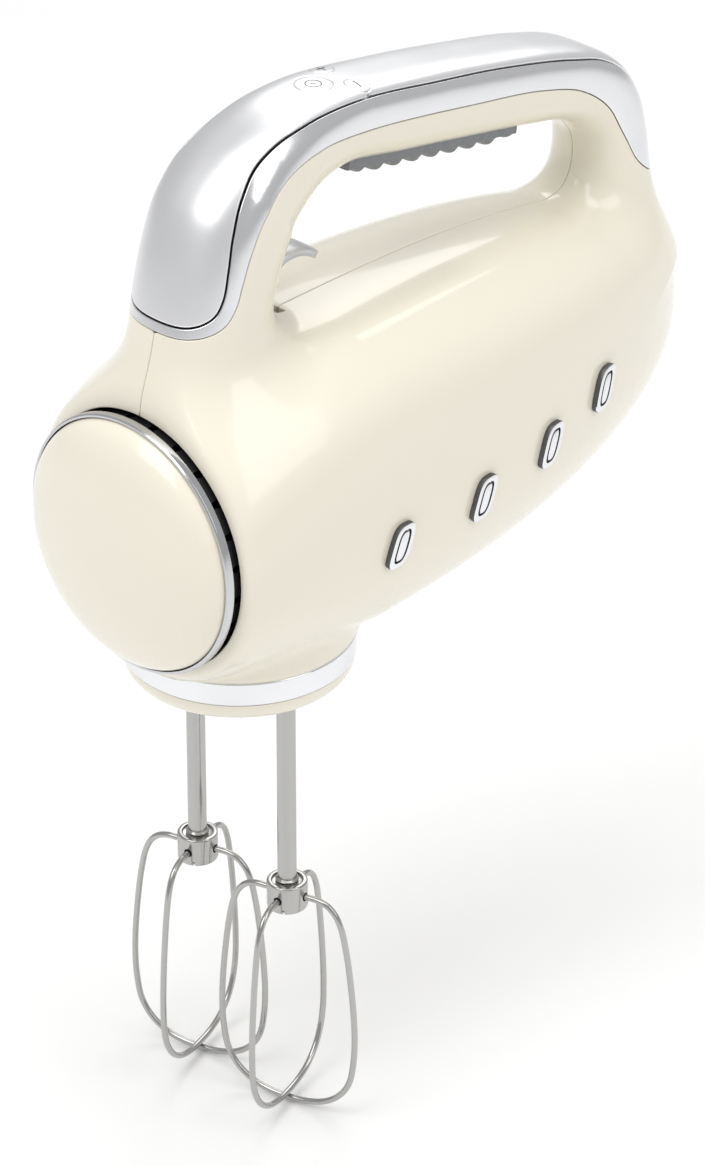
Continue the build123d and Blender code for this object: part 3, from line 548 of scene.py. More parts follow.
def mesh_object(name, points, faces):
    mesh = bpy.data.meshes.new(name)
    mesh.from_pydata([tuple(p) for p in place(points)], [], faces)
    mesh.update()
    return add_object(name, mesh)


def shade_smooth(ob, angle):
    """Smooth shading, apart from edges sharper than the angle."""
    ob.data.polygons.foreach_set("use_smooth", [True] * len(ob.data.polygons))
    ob.data.set_sharp_from_angle(angle=math.radians(angle))
    return ob


# --- materials
def add_node(tree, kind, values, links=()):
    """A new node with some inputs set and others fed from sockets."""
    made = tree.nodes.new(kind)
    for name, value in values.items():
        made.inputs[name].default_value = value
    for name, source in links:
        tree.links.new(source, made.inputs[name])
    return made


def material(name, color, roughness, metallic=0.0, coat=0.0, grain=(40.0, 0.03, 0.02), bump=0.0,
             brushed=(1, 1, 1)):
    """Principled surface whose colour, roughness and fine bump vary with place.  grain is the
    noise's scale per metre, its colour swing and its roughness swing; brushed stretches the noise
    along an axis."""
    m = bpy.data.materials.new(name)
    m.use_nodes = True
    tree = m.node_tree
    shader = tree.nodes["Principled BSDF"]
    shader.inputs["Metallic"].default_value = metallic
    if coat:
        shader.inputs["Coat Weight"].default_value = coat
        shader.inputs["Coat Roughness"].default_value = 0.06
    where = tree.nodes.new("ShaderNodeTexCoord").outputs["Object"]
    where = add_node(tree, "ShaderNodeMapping", {"Scale": brushed}, [("Vector", where)]).outputs["Vector"]
    noise = add_node(tree, "ShaderNodeTexNoise", {"Scale": grain[0], "Detail": 4.0}, [("Vector", where)])
    swing = {"To Min": 1 - grain[1], "To Max": 1 + grain[1] * 0.4}
    swing = add_node(tree, "ShaderNodeMapRange", swing, [("Value", noise.outputs["Fac"])])
    tint = add_node(tree, "ShaderNodeVectorMath", {0: color})
    tint.operation = "SCALE"
    tree.links.new(swing.outputs["Result"], tint.inputs["Scale"])
    tree.links.new(tint.outputs["Vector"], shader.inputs["Base Color"])
    rough = {"To Min": max(roughness - grain[2], 0.02), "To Max": roughness + grain[2]}
    rough = add_node(tree, "ShaderNodeMapRange", rough, [("Value", noise.outputs["Fac"])])
    tree.links.new(rough.outputs["Result"], shader.inputs["Roughness"])
    if bump:
        fine = add_node(tree, "ShaderNodeTexNoise", {"Scale": 2600.0, "Detail": 2.0}, [("Vector", where)])
        relief = add_node(tree, "ShaderNodeBump", {"Strength": bump, "Distance": 0.00002},
                          [("Height", fine.outputs["Fac"])])
        tree.links.new(relief.outputs["Normal"], shader.inputs["Normal"])
    return m


def silver(name, shade, roughness, metallic=1.0, grain=(60.0, 0.02, 0.02), bump=0.0):
    """Faintly blue grey metal."""
    return material(name, (shade, shade + 0.005, shade + 0.02), roughness, metallic, 0.0, grain, bump)


CREAM = material("ivory_plastic", (0.87, 0.825, 0.695), 0.23, coat=0.6, grain=(30.0, 0.012, 0.02),
                 bump=0.02)
# darker ivory on the shell's walls and inner face: painted shade for the depth of the joints, not the
# plastic's own colour
CREAM_PAINTED_SHADE = material("ivory_inside", (0.40, 0.36, 0.27), 0.5, grain=(30.0, 0.05, 0.05))
PANEL = silver("satin_silver", 0.91, 0.36, grain=(60.0, 0.02, 0.03), bump=0.05)
TRIM = silver("polished_silver", 0.82, 0.19, grain=(60.0, 0.03, 0.02))
RING = silver("ring_plating", 0.60, 0.14, grain=(50.0, 0.02, 0.02))
CHROME = silver("bright_plating", 0.82, 0.07, grain=(50.0, 0.02, 0.02))
LEVER = silver("lever_silver", 0.66, 0.36, metallic=0.6, grain=(60.0, 0.03, 0.03))
BUTTON = silver("button_silver", 0.89, 0.34)
# near-black on the cover's and trim's walls and inner faces: painted shadow inside the joints
JOINT_PAINTED_SHADOW = material("joint_shadow", (0.02, 0.02, 0.02), 0.7, grain=(80.0, 0.2, 0.05))
BLACK = material("vent_black", (0.012, 0.012, 0.012), 0.6, grain=(80.0, 0.2, 0.05), bump=0.1)
STEEL = material("beater_steel", (0.47, 0.465, 0.455), 0.20, metallic=1.0, grain=(90.0, 0.05, 0.05),
                 brushed=(1, 1, 0.15))
GRIP = material("grip_rubber", (0.20, 0.21, 0.225), 0.45, grain=(70.0, 0.06, 0.06), bump=0.3)
RUBBER = material("black_rubber", (0.03, 0.03, 0.03), 0.6, grain=(90.0, 0.2, 0.08), bump=0.4)
MOTOR_STEEL = material("motor_steel", (0.42, 0.42, 0.43), 0.38, metallic=1.0, grain=(120.0, 0.1, 0.08),
                       brushed=(0.2, 1, 1), bump=0.2)
COPPER = material("copper_coil", (0.72, 0.30, 0.14), 0.32, metallic=1.0, grain=(200.0, 0.15, 0.08),
                  brushed=(0.1, 1, 4), bump=0.4)
BRONZE = material("sintered_bronze", (0.66, 0.47, 0.22), 0.42, metallic=1.0, grain=(150.0, 0.1, 0.08),
                  bump=0.3)
NYLON = material("natural_nylon", (0.78, 0.76, 0.68), 0.42, grain=(60.0, 0.04, 0.05), bump=0.1)
BOARD = material("circuit_board", (0.03, 0.18, 0.08), 0.45, grain=(300.0, 0.3, 0.1), bump=0.1)
CARBON = material("carbon_block", (0.035, 0.035, 0.038), 0.55, grain=(200.0, 0.2, 0.1), bump=0.3)
MARK = material("button_mark", (0.04, 0.04, 0.045), 0.5, grain=(100.0, 0.1, 0.05))
# dark grey on the chrome studs' side and groove walls: painted shade on the faces turned away from the
# flank
STUD_PAINTED_SHADE = material("stud_side", (0.13, 0.13, 0.135), 0.35, metallic=0.8, grain=(80.0, 0.1, 0.05))

# every CAD node that isn't listed here is ivory
NODES_OF = [
    (MOTOR_STEEL, ["housing_screws", "frame_screws", "motor_stator", "motor_bracket", "motor_shaft", "worm",
                   "armature_core", "ejector_spring", "spindle_left", "spindle_right",
                   "ejector_pin_left", "ejector_pin_right"]),
    (NYLON, ["gearbox_frame", "ejector_rod", "ejector_yoke", "worm_gear_left", "worm_gear_right"]),
    (COPPER, ["field_coils", "armature_windings", "commutator"]),
    (BRONZE, ["spindle_bushes", "shaft_bearings", "brush_holders"]),
    (BLACK, ["vent_baffle", "tact_switches", "cooling_fan"]),
    (BOARD, ["power_board", "control_board"]),
    (RUBBER, ["noise_capacitor", "cord_gland"]),
    (CARBON, ["carbon_brushes"]),
    (CHROME, ["collar_ring", "emblem_studs"]),
    (RING, ["front_ring"]),
    (GRIP, ["grip_insert"]),
    (LEVER, ["ejector_lever"]),
    (BUTTON, ["button_power", "button_minus", "button_plus"]),
    (STEEL, ["beater_%s_%s" % (part, side)
             for part in ("shaft", "hub", "wires") for side in ("left", "right")]),
]
NODE_MATERIALS = {name: look for look, names in NODES_OF for name in names}


def dress(ob, *materials):
    ob.data.materials.clear()
    for m in materials:
        ob.data.materials.append(m)
    return ob


for name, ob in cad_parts.items():
    dress(ob, NODE_MATERIALS.get(name, CREAM))


def finished(ob, body, slot, node, *looks):
    """Gives a piece its materials, if any are named, and its body in place of a CAD node."""
    if looks:
        dress(ob, *looks)
    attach(ob, body)
    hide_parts(node)


# --- shell, cover and trim
BUTTON_REACH = 10.2
SIDE_BUTTON_R = 3.5
BUTTON_HOLES = []
BUTTON_NODES = ("button_power", "button_minus", "button_plus")
for name in BUTTON_NODES:
    low, high = node_box(name)
    button_y = (low[1] + high[1]) / 2
    button_r = (high[0] - low[0]) / 2
    if abs(button_y) > 1:
        button_r = SIDE_BUTTON_R
        button_y = math.copysign(BUTTON_REACH - SIDE_BUTTON_R, button_y)
    BUTTON_HOLES.append(((low[0] + high[0]) / 2, button_y, button_r))


def outside_buttons(gap):
    def cut(x, y, z):
        far = [np.hypot(x - bx, y - by) - r - gap for bx, by, r in BUTTON_HOLES]
        return np.where(z > 140, np.minimum(np.minimum(far[0], far[1]), far[2]), 99.0)
    return cut


def high_side(side, gap, sign):
    """Keeps one side of a side-view line; far below the handle everything is outside the cover."""
    def cut(x, y, z):
        d = side(x, z) * sign - gap
        return np.where(z > 70, d, 99.0 if sign > 0 else -99.0)
    return cut


SHELL_WALL = 2.3
SHELL_EDGE = 0.35
SEAM_HALF_GAP = 0.06
PANEL_WALL = 1.7
PANEL_EDGE = 0.55
PANEL_LIFT = 0.12
TRIM_WALL = 2.0
TRIM_EDGE = 0.3
BUTTON_GAP = 0.3
HOLE_EDGE = 0.2
SLOT_X = (1.0, 15.6)
SLOT_Z = (92.0, 115.4)
SLOT_HALF_Y = 3.4


def slot_cut(x, y, z):
    """Distance outside the ejector's slot in the pillar's rear and the body's top."""
    dx = np.maximum(SLOT_X[0] - x, x - SLOT_X[1])
    dy = np.abs(y) - SLOT_HALF_Y
    dz = np.maximum(SLOT_Z[0] - z, z - SLOT_Z[1])
    inside = np.minimum(np.maximum(np.maximum(dx, dy), dz), 0)
    return np.sqrt(np.maximum(dx, 0) ** 2 + np.maximum(dy, 0) ** 2 + np.maximum(dz, 0) ** 2) + inside


def cut_sheet(points, quads, cuts):
    """Sheet cut along each (line, edge radius) in turn."""
    sheet = Sheet(points.copy(), quads)
    for line, edge in cuts:
        sheet.cut(line, edge)
    return sheet


half_points, half_quads = left_skin()
half = cut_sheet(half_points, half_quads, [
    (high_side(trim_side, JOINT_GAP / 2, 1), SHELL_EDGE), (slot_cut, SHELL_EDGE),
    (lambda x, y, z: y - SEAM_HALF_GAP, SHELL_EDGE),
    (lambda x, y, z: x - RIM_X - LIP_BACK + 0 * y, SHELL_EDGE)])
for side, flip in (("left", False), ("right", True)):
    shell = half.solid("shell_" + side, SHELL_EDGE, SHELL_WALL, flip=flip)
    finished(shell, "casing", "cream_shell", "housing_" + side, CREAM, CREAM_PAINTED_SHADE)

whole_points, whole_quads = full_skin(half_points, half_quads)
cover = cut_sheet(whole_points, whole_quads, [
    (high_side(panel_side, JOINT_GAP, -1), PANEL_EDGE), (outside_buttons(BUTTON_GAP), HOLE_EDGE)])
panel = cover.solid("cover_panel", PANEL_EDGE, PANEL_WALL, lift=PANEL_LIFT)
finished(panel, "casing", "silver_panel", "handle_panel", PANEL, JOINT_PAINTED_SHADOW)

band = cut_sheet(whole_points, whole_quads, [
    (high_side(panel_side, JOINT_GAP, 1), TRIM_EDGE), (high_side(trim_side, JOINT_GAP / 2, -1), TRIM_EDGE),
    (outside_buttons(BUTTON_GAP), TRIM_EDGE)])
trim = band.solid("cover_trim", TRIM_EDGE, TRIM_WALL)
finished(trim, "casing", "silver_trim", "handle_trim", TRIM, JOINT_PAINTED_SHADOW)


# --- turned, swept and lofted pieces
def rounded(corners, steps=5):
    """Closed outline through (u, v, radius) corners, each turned into an arc of its radius."""
    made = []
    for k, (u, v, radius) in enumerate(corners):
        corner = np.array((u, v), float)
        if not radius:
            made.append(corner)
            continue
        back = unit(np.array([corners[k - 1][:2]]) - corner)[0]
        ahead = unit(np.array([corners[(k + 1) % len(corners)][:2]]) - corner)[0]
        half = math.acos(np.clip(back @ ahead, -1, 1)) / 2
        centre = corner + unit((back + ahead)[None])[0] * radius / math.sin(half)
        start = corner + back * radius / math.tan(half) - centre
        end = corner + ahead * radius / math.tan(half) - centre
        turn = math.pi - 2 * half
        for s in np.linspace(0, turn, steps + 1):
            made.append(centre + (start * math.sin(turn - s) + end * math.sin(s)) / math.sin(turn))
    return np.array(made)


def smoothed(ob, angle=32.0):
    """Faces turned outward and shaded smooth, apart from edges sharper than the angle."""
    bm = bmesh.new()
    bm.from_mesh(ob.data)
    bmesh.ops.remove_doubles(bm, verts=bm.verts, dist=1e-7)
    bmesh.ops.recalc_face_normals(bm, faces=bm.faces)
    bm.to_mesh(ob.data)
    bm.free()
    return shade_smooth(ob, angle)


def turned(name, outline, axis, centre, count=160):
    """Solid of revolution of a closed outline of (along, radius) points."""
    angles = np.arange(count) * 2 * math.pi / count
    points = []
    rings = []
    for along, radius in outline:
        here = [(along, radius * math.cos(a), radius * math.sin(a)) for a in (angles if radius else [0])]
        rings.append(range(len(points), len(points) + len(here)))
        points += here
    points = np.array(points)
    if axis == "Z":
        points = points[:, [1, 2, 0]]
    faces = []
    for k, ring in enumerate(rings):
        after = rings[(k + 1) % len(rings)]
        if len(ring) == 1 and len(after) == 1:
            continue
        for j in range(count):
            i = (j + 1) % count
            corners = [ring[j % len(ring)], ring[i % len(ring)],
                       after[i % len(after)], after[j % len(after)]]
            faces.append(tuple(dict.fromkeys(corners)))
    return smoothed(mesh_object(name, points + np.array(centre), faces))


def lofted(name, rings, angle=32.0, closed=False):
    """Skin over rings of points: a flat face at each end, or the last ring joined to the first."""
    count = len(rings[0])
    faces = []
    if not closed:
        faces = [tuple(range(count)), tuple(range((len(rings) - 1) * count, len(rings) * count))]
    for k in range(len(rings) - (not closed)):
        low, high = k * count, (k + 1) % len(rings) * count
        for j in range(count):
            i = (j + 1) % count
            faces.append((low + j, low + i, high + i, high + j))
    return smoothed(mesh_object(name, np.vstack(rings), faces), angle)


def swept(name, path, radius, count=20):
    """Round rod along a path, with slightly domed ends."""
    path = np.asarray(path, float)
    ahead = unit(np.gradient(path, axis=0))
    side = unit(np.cross(ahead, (0.31, 0.95, 0.05)))
    rings = []
    angles = np.arange(count) * 2 * math.pi / count
    for k, point in enumerate(path):
        across = unit((side[k] - ahead[k] * (side[k] @ ahead[k]))[None])[0]
        up = np.cross(ahead[k], across)
        wheel = np.cos(angles)[:, None] * across + np.sin(angles)[:, None] * up
        if k == 0:
            rings.append(point - ahead[k] * 0.25 * radius + wheel * radius * 0.75)
        rings.append(point + wheel * radius)
        if k == len(path) - 1:
            rings.append(point + ahead[k] * 0.25 * radius + wheel * radius * 0.75)
    return lofted(name, rings)


def rod(name, start, end, radius, count=32):
    return swept(name, np.linspace(start, end, 2), radius, count)


def joined(name, *parts):
    """One object made of several closed ones."""
    bm = bmesh.new()
    for part in parts:
        bm.from_mesh(part.data)
        bpy.data.objects.remove(part)
    mesh = bpy.data.meshes.new(name)
    bm.to_mesh(mesh)
    bm.free()
    return shade_smooth(add_object(name, mesh), 32)


def carved(ob, *tools):
    """Takes the tools' shapes out of a piece."""
    for tool in tools:
        step = ob.modifiers.new("carve", "BOOLEAN")
        step.operation = "DIFFERENCE"
        step.solver = "EXACT"
        step.object = tool
    made = bpy.data.meshes.new_from_object(ob.evaluated_get(bpy.context.evaluated_depsgraph_get()))
    ob.modifiers.clear()
    ob.data = made
    for tool in tools:
        bpy.data.objects.remove(tool)
    return smoothed(ob)


# --- nose: domed cap, plated ring and dark vent sleeve
CAP_WALL = 2.4
CAP_BORE = CAP_R - 4.5
VENT_SLOTS = 24
VENT_SLOT_HALF = (4.0, 1.2)
CAP_BACK_X = RING_LOW[0] + 1.1


def nose_cap():
    depth = CAP_BACK_X - CAP_LOW[0]
    angles = np.linspace(0, math.pi / 2, 30)
    outer = [(CAP_BACK_X - depth * math.cos(a), (CAP_R - 0.1) * math.sin(a)) for a in angles]
    rim = [(CAP_BACK_X + 0.35, CAP_R - 0.25), (CAP_BACK_X + 0.5, CAP_R - 0.6),
           (CAP_BACK_X + 3.6, CAP_R - 2.3), (CAP_BACK_X + 3.6, CAP_BORE)]
    inner = [(CAP_BACK_X - (depth - CAP_WALL) * math.cos(a), CAP_BORE * math.sin(a))
             for a in angles[::-1]]
    return turned("nose_cap", outer + rim + inner, "X", (0, 0, NOSE_Z))


def nose_ring():
    low, high = RING_LOW[0], RING_HIGH[0]
    bore = CAP_R + 0.16
    outline = rounded([(high, bore, 0), (low, bore, 0.1), (low, RING_R - 0.35, 0.2),
                       (low + 0.4, RING_R, 0.3), (high, RING_R, 0.2)])
    return turned("nose_ring", outline, "X", (0, 0, NOSE_Z))


def nose_sleeve():
    low, high = node_box("vent_baffle")
    bore = CAP_R - 3.1
    outline = rounded([(high[0], 0, 0), (high[0], RING_R - 1.8, 0.5), (low[0] + 0.8, RING_R - 1.8, 0.5),
                       (low[0], RING_R - 0.9, 0.2), (low[0], bore, 0), (high[0] - 2.0, bore, 0),
                       (high[0] - 2.0, 0, 0)])
    sleeve = turned("nose_sleeve", outline, "X", (0, 0, NOSE_Z), 96)
    slots = []
    for k in range(VENT_SLOTS):
        a = 2 * math.pi * (k + 0.5) / VENT_SLOTS
        out = np.array((0, math.cos(a), math.sin(a)))
        along = np.array((1.0, 0, 0))
        start = np.array((low[0] + 4.5, 0, NOSE_Z)) + out * (bore - 1)
        rings = []
        for reach in (0.0, 5.0):
            ring = [start + out * reach + along * VENT_SLOT_HALF[0] * math.cos(t)
                    + np.cross(along, out) * VENT_SLOT_HALF[1] * math.sin(t)
                    for t in np.linspace(0, 2 * math.pi, 16, endpoint=False)]
            rings.append(np.array(ring))
        slots.append(lofted("slot", rings))
    return carved(sleeve, joined("slots", *slots))


finished(nose_cap(), "casing", "cream_shell", "front_cap", CREAM)
finished(nose_ring(), "casing", "chrome_trim", "front_ring", RING)
finished(nose_sleeve(), "casing", "dark_plastic", "vent_baffle", BLACK)

# --- collar and bottom cap
SPINDLE_LOW, SPINDLE_HIGH = node_box("spindle_left")
BEATER_Y = (SPINDLE_LOW[1] + SPINDLE_HIGH[1]) / 2
SPINDLE_R = (SPINDLE_HIGH[0] - SPINDLE_LOW[0]) / 2
SCREW_LOW, SCREW_HIGH = node_box("frame_screws")
SCREW_HEAD_R = 2.7
SCREW_X = SCREW_HIGH[0] - SCREW_HEAD_R
SCREW_Y = SCREW_HIGH[1] - SCREW_HEAD_R


def collar():
    bore = COLLAR_R - 2.4
    outline = rounded([(0, bore, 0), (0, COLLAR_R, 0.5), (COLLAR_H, COLLAR_R, 0.45), (COLLAR_H, bore, 0)])
    return turned("collar_band", outline, "Z", (0, 0, 0))


DISH_CROWN = 1.0
DISH_EDGE = 4.0


def dish():
    low = DISH_LOW[2] - DISH_CROWN
    edge = DISH_HIGH[0]
    spigot = COLLAR_R - 2.7
    curve = [(low + (-0.2 - low) * (1 - math.cos(a)), edge - DISH_EDGE * (1 - math.sin(a)))
             for a in np.linspace(0, math.pi / 2, 12)]
    inside = [(-0.2, spigot), (5.6, spigot), (5.6, spigot - 2.2), (low + 2.5, spigot - 2.2), (low + 2.5, 0)]
    made = turned("bottom_dish", [(low, 0)] + curve + inside, "Z", (0, 0, 0))
    holes = []
    for side in (-1, 1):
        mouth = [(low - 1, 0), (low - 1, SPINDLE_R + 1.8), (low, SPINDLE_R + 1.5),
                 (low + 0.9, SPINDLE_R + 0.7), (low + 9, SPINDLE_R + 0.7), (low + 9, 0)]
        holes.append(turned("mouth", mouth, "Z", (0, side * BEATER_Y, 0), 64))
        for x in (-SCREW_X, SCREW_X):
            well = [(low - 1, 0), (low - 1, SCREW_HEAD_R + 0.35), (low + 1.2, SCREW_HEAD_R + 0.35),
                    (low + 1.2, 1.6), (low + 9, 1.6), (low + 9, 0)]
            holes.append(turned("well", well, "Z", (x, side * SCREW_Y, 0), 48))
    return carved(made, joined("holes", *holes))


finished(collar(), "casing", "chrome_trim", "collar_ring", CHROME)
finished(dish(), "casing", "cream_shell", "bottom_cap", CREAM)


# --- studs on the flanks
STUDS = [(18.0, 41.8), (51.7, 42.4), (81.4, 46.1), (107.4, 52.2)]
STUD_HALF = (3.9, 6.5)
STUD_LEAN = math.radians(18)
STUD_HEIGHT = 1.75
STUD_SKIRT = 0.35
STUD_POWER = 3.2
GROOVE_INSET = 1.5


def stud_ring(centre, shrink, lift, count=64):
    """One outline of a stud, laid on the flank at a height above it."""
    x, z = centre
    ring = []
    for k in range(count):
        a = 2 * math.pi * k / count
        c, s = math.cos(a), math.sin(a)
        reach = (abs(c) ** STUD_POWER + abs(s) ** STUD_POWER) ** (-1 / STUD_POWER)
        u = (STUD_HALF[0] - shrink) * c * reach
        v = (STUD_HALF[1] - shrink) * s * reach
        ring.append((x + u + v * math.sin(STUD_LEAN), BODY_HALF_WIDTH, z + v * math.cos(STUD_LEAN)))
    ring = np.array(ring)
    for _ in range(12):
        ring[:, 1] -= shell_field(*ring.T)
    return ring + unit(gradient(ring)) * lift


def stud(centre, side):
    """Lozenge with a sunk groove round its middle; its levels are (inset, height)."""
    deep = STUD_HEIGHT - 0.7
    levels = [(0.15, -0.4), (0.0, STUD_SKIRT), (0.0, STUD_HEIGHT - 0.35), (0.1, STUD_HEIGHT - 0.1),
              (0.35, STUD_HEIGHT), (GROOVE_INSET, STUD_HEIGHT), (GROOVE_INSET + 0.1, STUD_HEIGHT - 0.05),
              (GROOVE_INSET + 0.2, deep), (GROOVE_INSET + 0.7, deep),
              (GROOVE_INSET + 0.8, STUD_HEIGHT - 0.1), (GROOVE_INSET + 1.0, STUD_HEIGHT)]
    rings = [stud_ring(centre, shrink, lift) for shrink, lift in levels]
    if side < 0:
        rings = [mirrored(r) for r in rings]
    return lofted("stud", rings, 40)


def stud_group(name, side):
    made = dress(joined(name, *[stud(c, side) for c in STUDS]), CHROME, STUD_PAINTED_SHADE)
    # faces turned away from the flank (side and groove walls) take the second material, a painted shade
    painted_shade_walls = [int(abs(f.normal.y) <= 0.55) for f in made.data.polygons]
    made.data.polygons.foreach_set("material_index", painted_shade_walls)
    return made


finished(stud_group("studs_left", 1), "casing", "chrome_trim", "emblem_studs")
finished(stud_group("studs_right", -1), "casing", "chrome_trim", "emblem_studs")

# --- ejector lever
LEVER_LOW, LEVER_HIGH = node_box("ejector_lever")
LEVER_HALF_Y = LEVER_HIGH[1]
LEVER_ARM_Y = 2.9
TONGUE_LINE = [
    (1.0, 112.6), (5.0, 113.0), (9.0, 115.1), (12.6, 116.7), (17.0, 117.0), (21.0, 115.9), (24.4, 114.0),
    (27.2, 111.8),
]
TONGUE_THICK = 2.9
TIP_LENGTH = 5.6
ROOT_LENGTH = 6.5
ROOT_TAPER = 3.0


def tongue():
    line = smooth_curve(TONGUE_LINE, 8)
    ahead = unit(np.gradient(line, axis=0))
    run = np.concatenate([[0], np.cumsum(np.linalg.norm(np.diff(line, axis=0), axis=1))])
    rings = []
    for k, (x, z) in enumerate(line):
        near_tip = np.clip((run[k] - run[-1] + TIP_LENGTH) / TIP_LENGTH, 0, 0.998)
        near_root = np.clip((ROOT_LENGTH - run[k]) / ROOT_TAPER, 0, 1)
        width = LEVER_HALF_Y * (1 - near_tip ** 2.4) ** 0.42 * (1 - near_root) + LEVER_ARM_Y * near_root
        thick = TONGUE_THICK / 2 * (1 - 0.9 * near_tip ** 6)
        ring = []
        for a in np.linspace(0, 2 * math.pi, 40, endpoint=False):
            c, s = math.cos(a), math.sin(a)
            reach = (abs(c) ** 9 + abs(s) ** 4) ** (-1 / 6)
            up = s * reach * thick
            ring.append((x - ahead[k][1] * up, c * reach * width, z + ahead[k][0] * up))
        rings.append(np.array(ring))
    return lofted("ejector_tongue", rings, 50)


def shoe():
    """Pale piece inside the slot below the tongue."""
    side_view = rounded([(0.2, 114.2, 0), (0.2, 104.0, 1), (5.0, 99.0, 1), (12.8, 96.6, 0.4),
                         (13.6, 99.2, 0.8), (8.4, 101.2, 3.0), (4.8, 107.0, 1.5), (4.5, 114.2, 0)])
    return flat_piece("shoe", side_view, LEVER_ARM_Y, 0.35)


def flat_piece(name, outline, half, edge, steps=4):
    """Plate with a side-view outline, a half thickness and rounded rims."""
    after = np.roll(outline, -1, 0)
    ahead = unit(after - outline)
    inward = np.stack([-ahead[:, 1], ahead[:, 0]], 1)
    inward = unit(inward + np.roll(inward, 1, 0))
    area = (outline[:, 0] * after[:, 1] - after[:, 0] * outline[:, 1]).sum()
    if area < 0:
        inward = -inward
    profile = [(edge * (1 - math.sin(a)), half - edge + edge * math.cos(a))
               for a in np.linspace(0, math.pi / 2, steps + 1)]
    profile += [(inset, -y) for inset, y in profile[::-1]]
    rings = []
    for inset, y in profile:
        ring = outline + inward * inset
        rings.append(np.stack([ring[:, 0], np.full(len(ring), y), ring[:, 1]], 1))
    return lofted(name, rings)


finished(joined("ejector_tab", tongue(), shoe()), "ejector", "silver_trim", "ejector_lever", LEVER)


# --- buttons, flush with the cover
BUTTON_DEEP = 4.6
BUTTON_EDGE = 0.22
BUTTON_PROUD = 0.14
MARK_PROUD = 0.03
MARK_DEEP = 0.4


def on_cover(x, y, lift):
    """Points on the cover straight above (x, y), raised by a lift."""
    z = np.full(len(x), 158.0)
    for _ in range(14):
        z = z - np.clip(shell_field(x, y, z), -4, 4) * 0.9
    return np.stack([x, y, z + lift], 1)


def button_ring(centre, radius, lift, count=72):
    a = np.arange(count) * 2 * math.pi / count
    return on_cover(centre[0] + radius * np.cos(a), centre[1] + radius * np.sin(a), lift)


def button_cap(name, x, y, r):
    rings = []
    low = on_cover(np.array([x]), np.array([y]), 0)[0, 2] - BUTTON_DEEP
    rings.append(button_ring((x, y), r, 0) * (1, 1, 0) + (0, 0, low))
    for a in np.linspace(0, math.pi / 2, 5):
        rings.append(button_ring((x, y), r - BUTTON_EDGE * (1 - math.cos(a)),
                                 BUTTON_PROUD - BUTTON_EDGE * (1 - math.sin(a))))
    for share in (0.8, 0.6, 0.4, 0.2, 0.03):
        rings.append(button_ring((x, y), (r - BUTTON_EDGE) * share, BUTTON_PROUD))
    return lofted(name, rings)


def button_strip(x, y, direction, length, width):
    """Dark bar inlaid in a button's top."""
    along = np.array(direction) / np.hypot(*direction)
    across = np.array((-along[1], along[0]))
    rings = []
    for share in np.linspace(-0.5, 0.5, 12):
        middle = np.array((x, y)) + along * share * length
        sides = np.array([middle - across * width / 2, middle + across * width / 2])
        top = on_cover(sides[:, 0], sides[:, 1], BUTTON_PROUD + MARK_PROUD)
        rings.append(np.array([top[0], top[1], top[1] - (0, 0, MARK_DEEP), top[0] - (0, 0, MARK_DEEP)]))
    return lofted("bar", rings)


def button_circle(x, y, radius, width):
    """Dark ring inlaid in a button's top."""
    high = BUTTON_PROUD + MARK_PROUD
    rings = [button_ring((x, y), radius + side * width / 2, lift)
             for side, lift in ((1, high - MARK_DEEP), (1, high), (-1, high), (-1, high - MARK_DEEP))]
    return lofted("circle", rings, closed=True)


def button(name, x, y, r):
    body = name.replace("button_", "") + "_button"
    if name == "button_power":
        marks = [button_circle(x, y, 2.2, 0.32), button_strip(x, y, (1, -0.55), 1.5, 0.34)]
    elif name == "button_minus":
        marks = [button_strip(x, y, (0.1, 1), 3.6, 0.5)]
    else:
        marks = [button_strip(x, y, (1, 0.1), 3.2, 0.45), button_strip(x, y, (-0.1, 1), 3.2, 0.45)]
    finished(button_cap(name + "_cap", x, y, r), body, "button_silver", name, BUTTON)
    finished(joined(name + "_mark", *marks), body, "dark_plastic", name, MARK)


for name, (x, y, r) in zip(BUTTON_NODES, BUTTON_HOLES):
    button(name, x, y, r)


# --- grip insert
INSERT_START = np.array((35.0, 136.0))
INSERT_END = np.array((102.0, 123.4))
INSERT_HALF_Y = node_box("grip_insert")[1][1]
INSERT_RIDGES = 9
RIDGE_DEPTH = 2.5
RIDGE_PEAK = 0.72
END_SHARE = 0.14


def ridge_height(share):
    """Raked scallops: each rises slowly, rolls over and falls quickly; the end ones are lower."""
    phase = (share * INSERT_RIDGES) % 1.0
    rise = 0.5 - 0.5 * math.cos(math.pi * min(phase / RIDGE_PEAK, 1))
    fall = 0.5 + 0.5 * math.cos(math.pi * max((phase - RIDGE_PEAK) / (1 - RIDGE_PEAK), 0))
    ends = min(share, 1 - share) / END_SHARE
    return RIDGE_DEPTH * rise ** 1.3 * fall ** 0.8 * min(1, ends ** 0.6 if ends > 0 else 0)


def insert_block():
    along = INSERT_END - INSERT_START
    length = np.hypot(*along)
    along = along / length
    down = np.array((along[1], -along[0]))
    rings = []
    steps = INSERT_RIDGES * 14
    for k in range(steps + 1):
        share = k / steps
        tall = ridge_height(share)
        ring = []
        for s in np.linspace(-1, 1, 25):
            edge = (1 - abs(s) ** 5) ** 0.5
            ring.append((s * INSERT_HALF_Y, 0.3 + 0.3 * edge + tall * edge))
        ring += [(INSERT_HALF_Y, -2.6), (-INSERT_HALF_Y, -2.6)]
        middle = INSERT_START + along * (0.2 + share * (length - 0.4))
        rings.append(np.array([(middle[0] + down[0] * d, y, middle[1] + down[1] * d) for y, d in ring]))
    return lofted("grip_strip", rings, 50)


finished(insert_block(), "casing", "grip_rubber", "grip_insert", GRIP)

# --- cord inlet at the tail
GLAND_Z = (GLAND_LOW[2] + GLAND_HIGH[2]) / 2
GLAND_BORE = 3.6


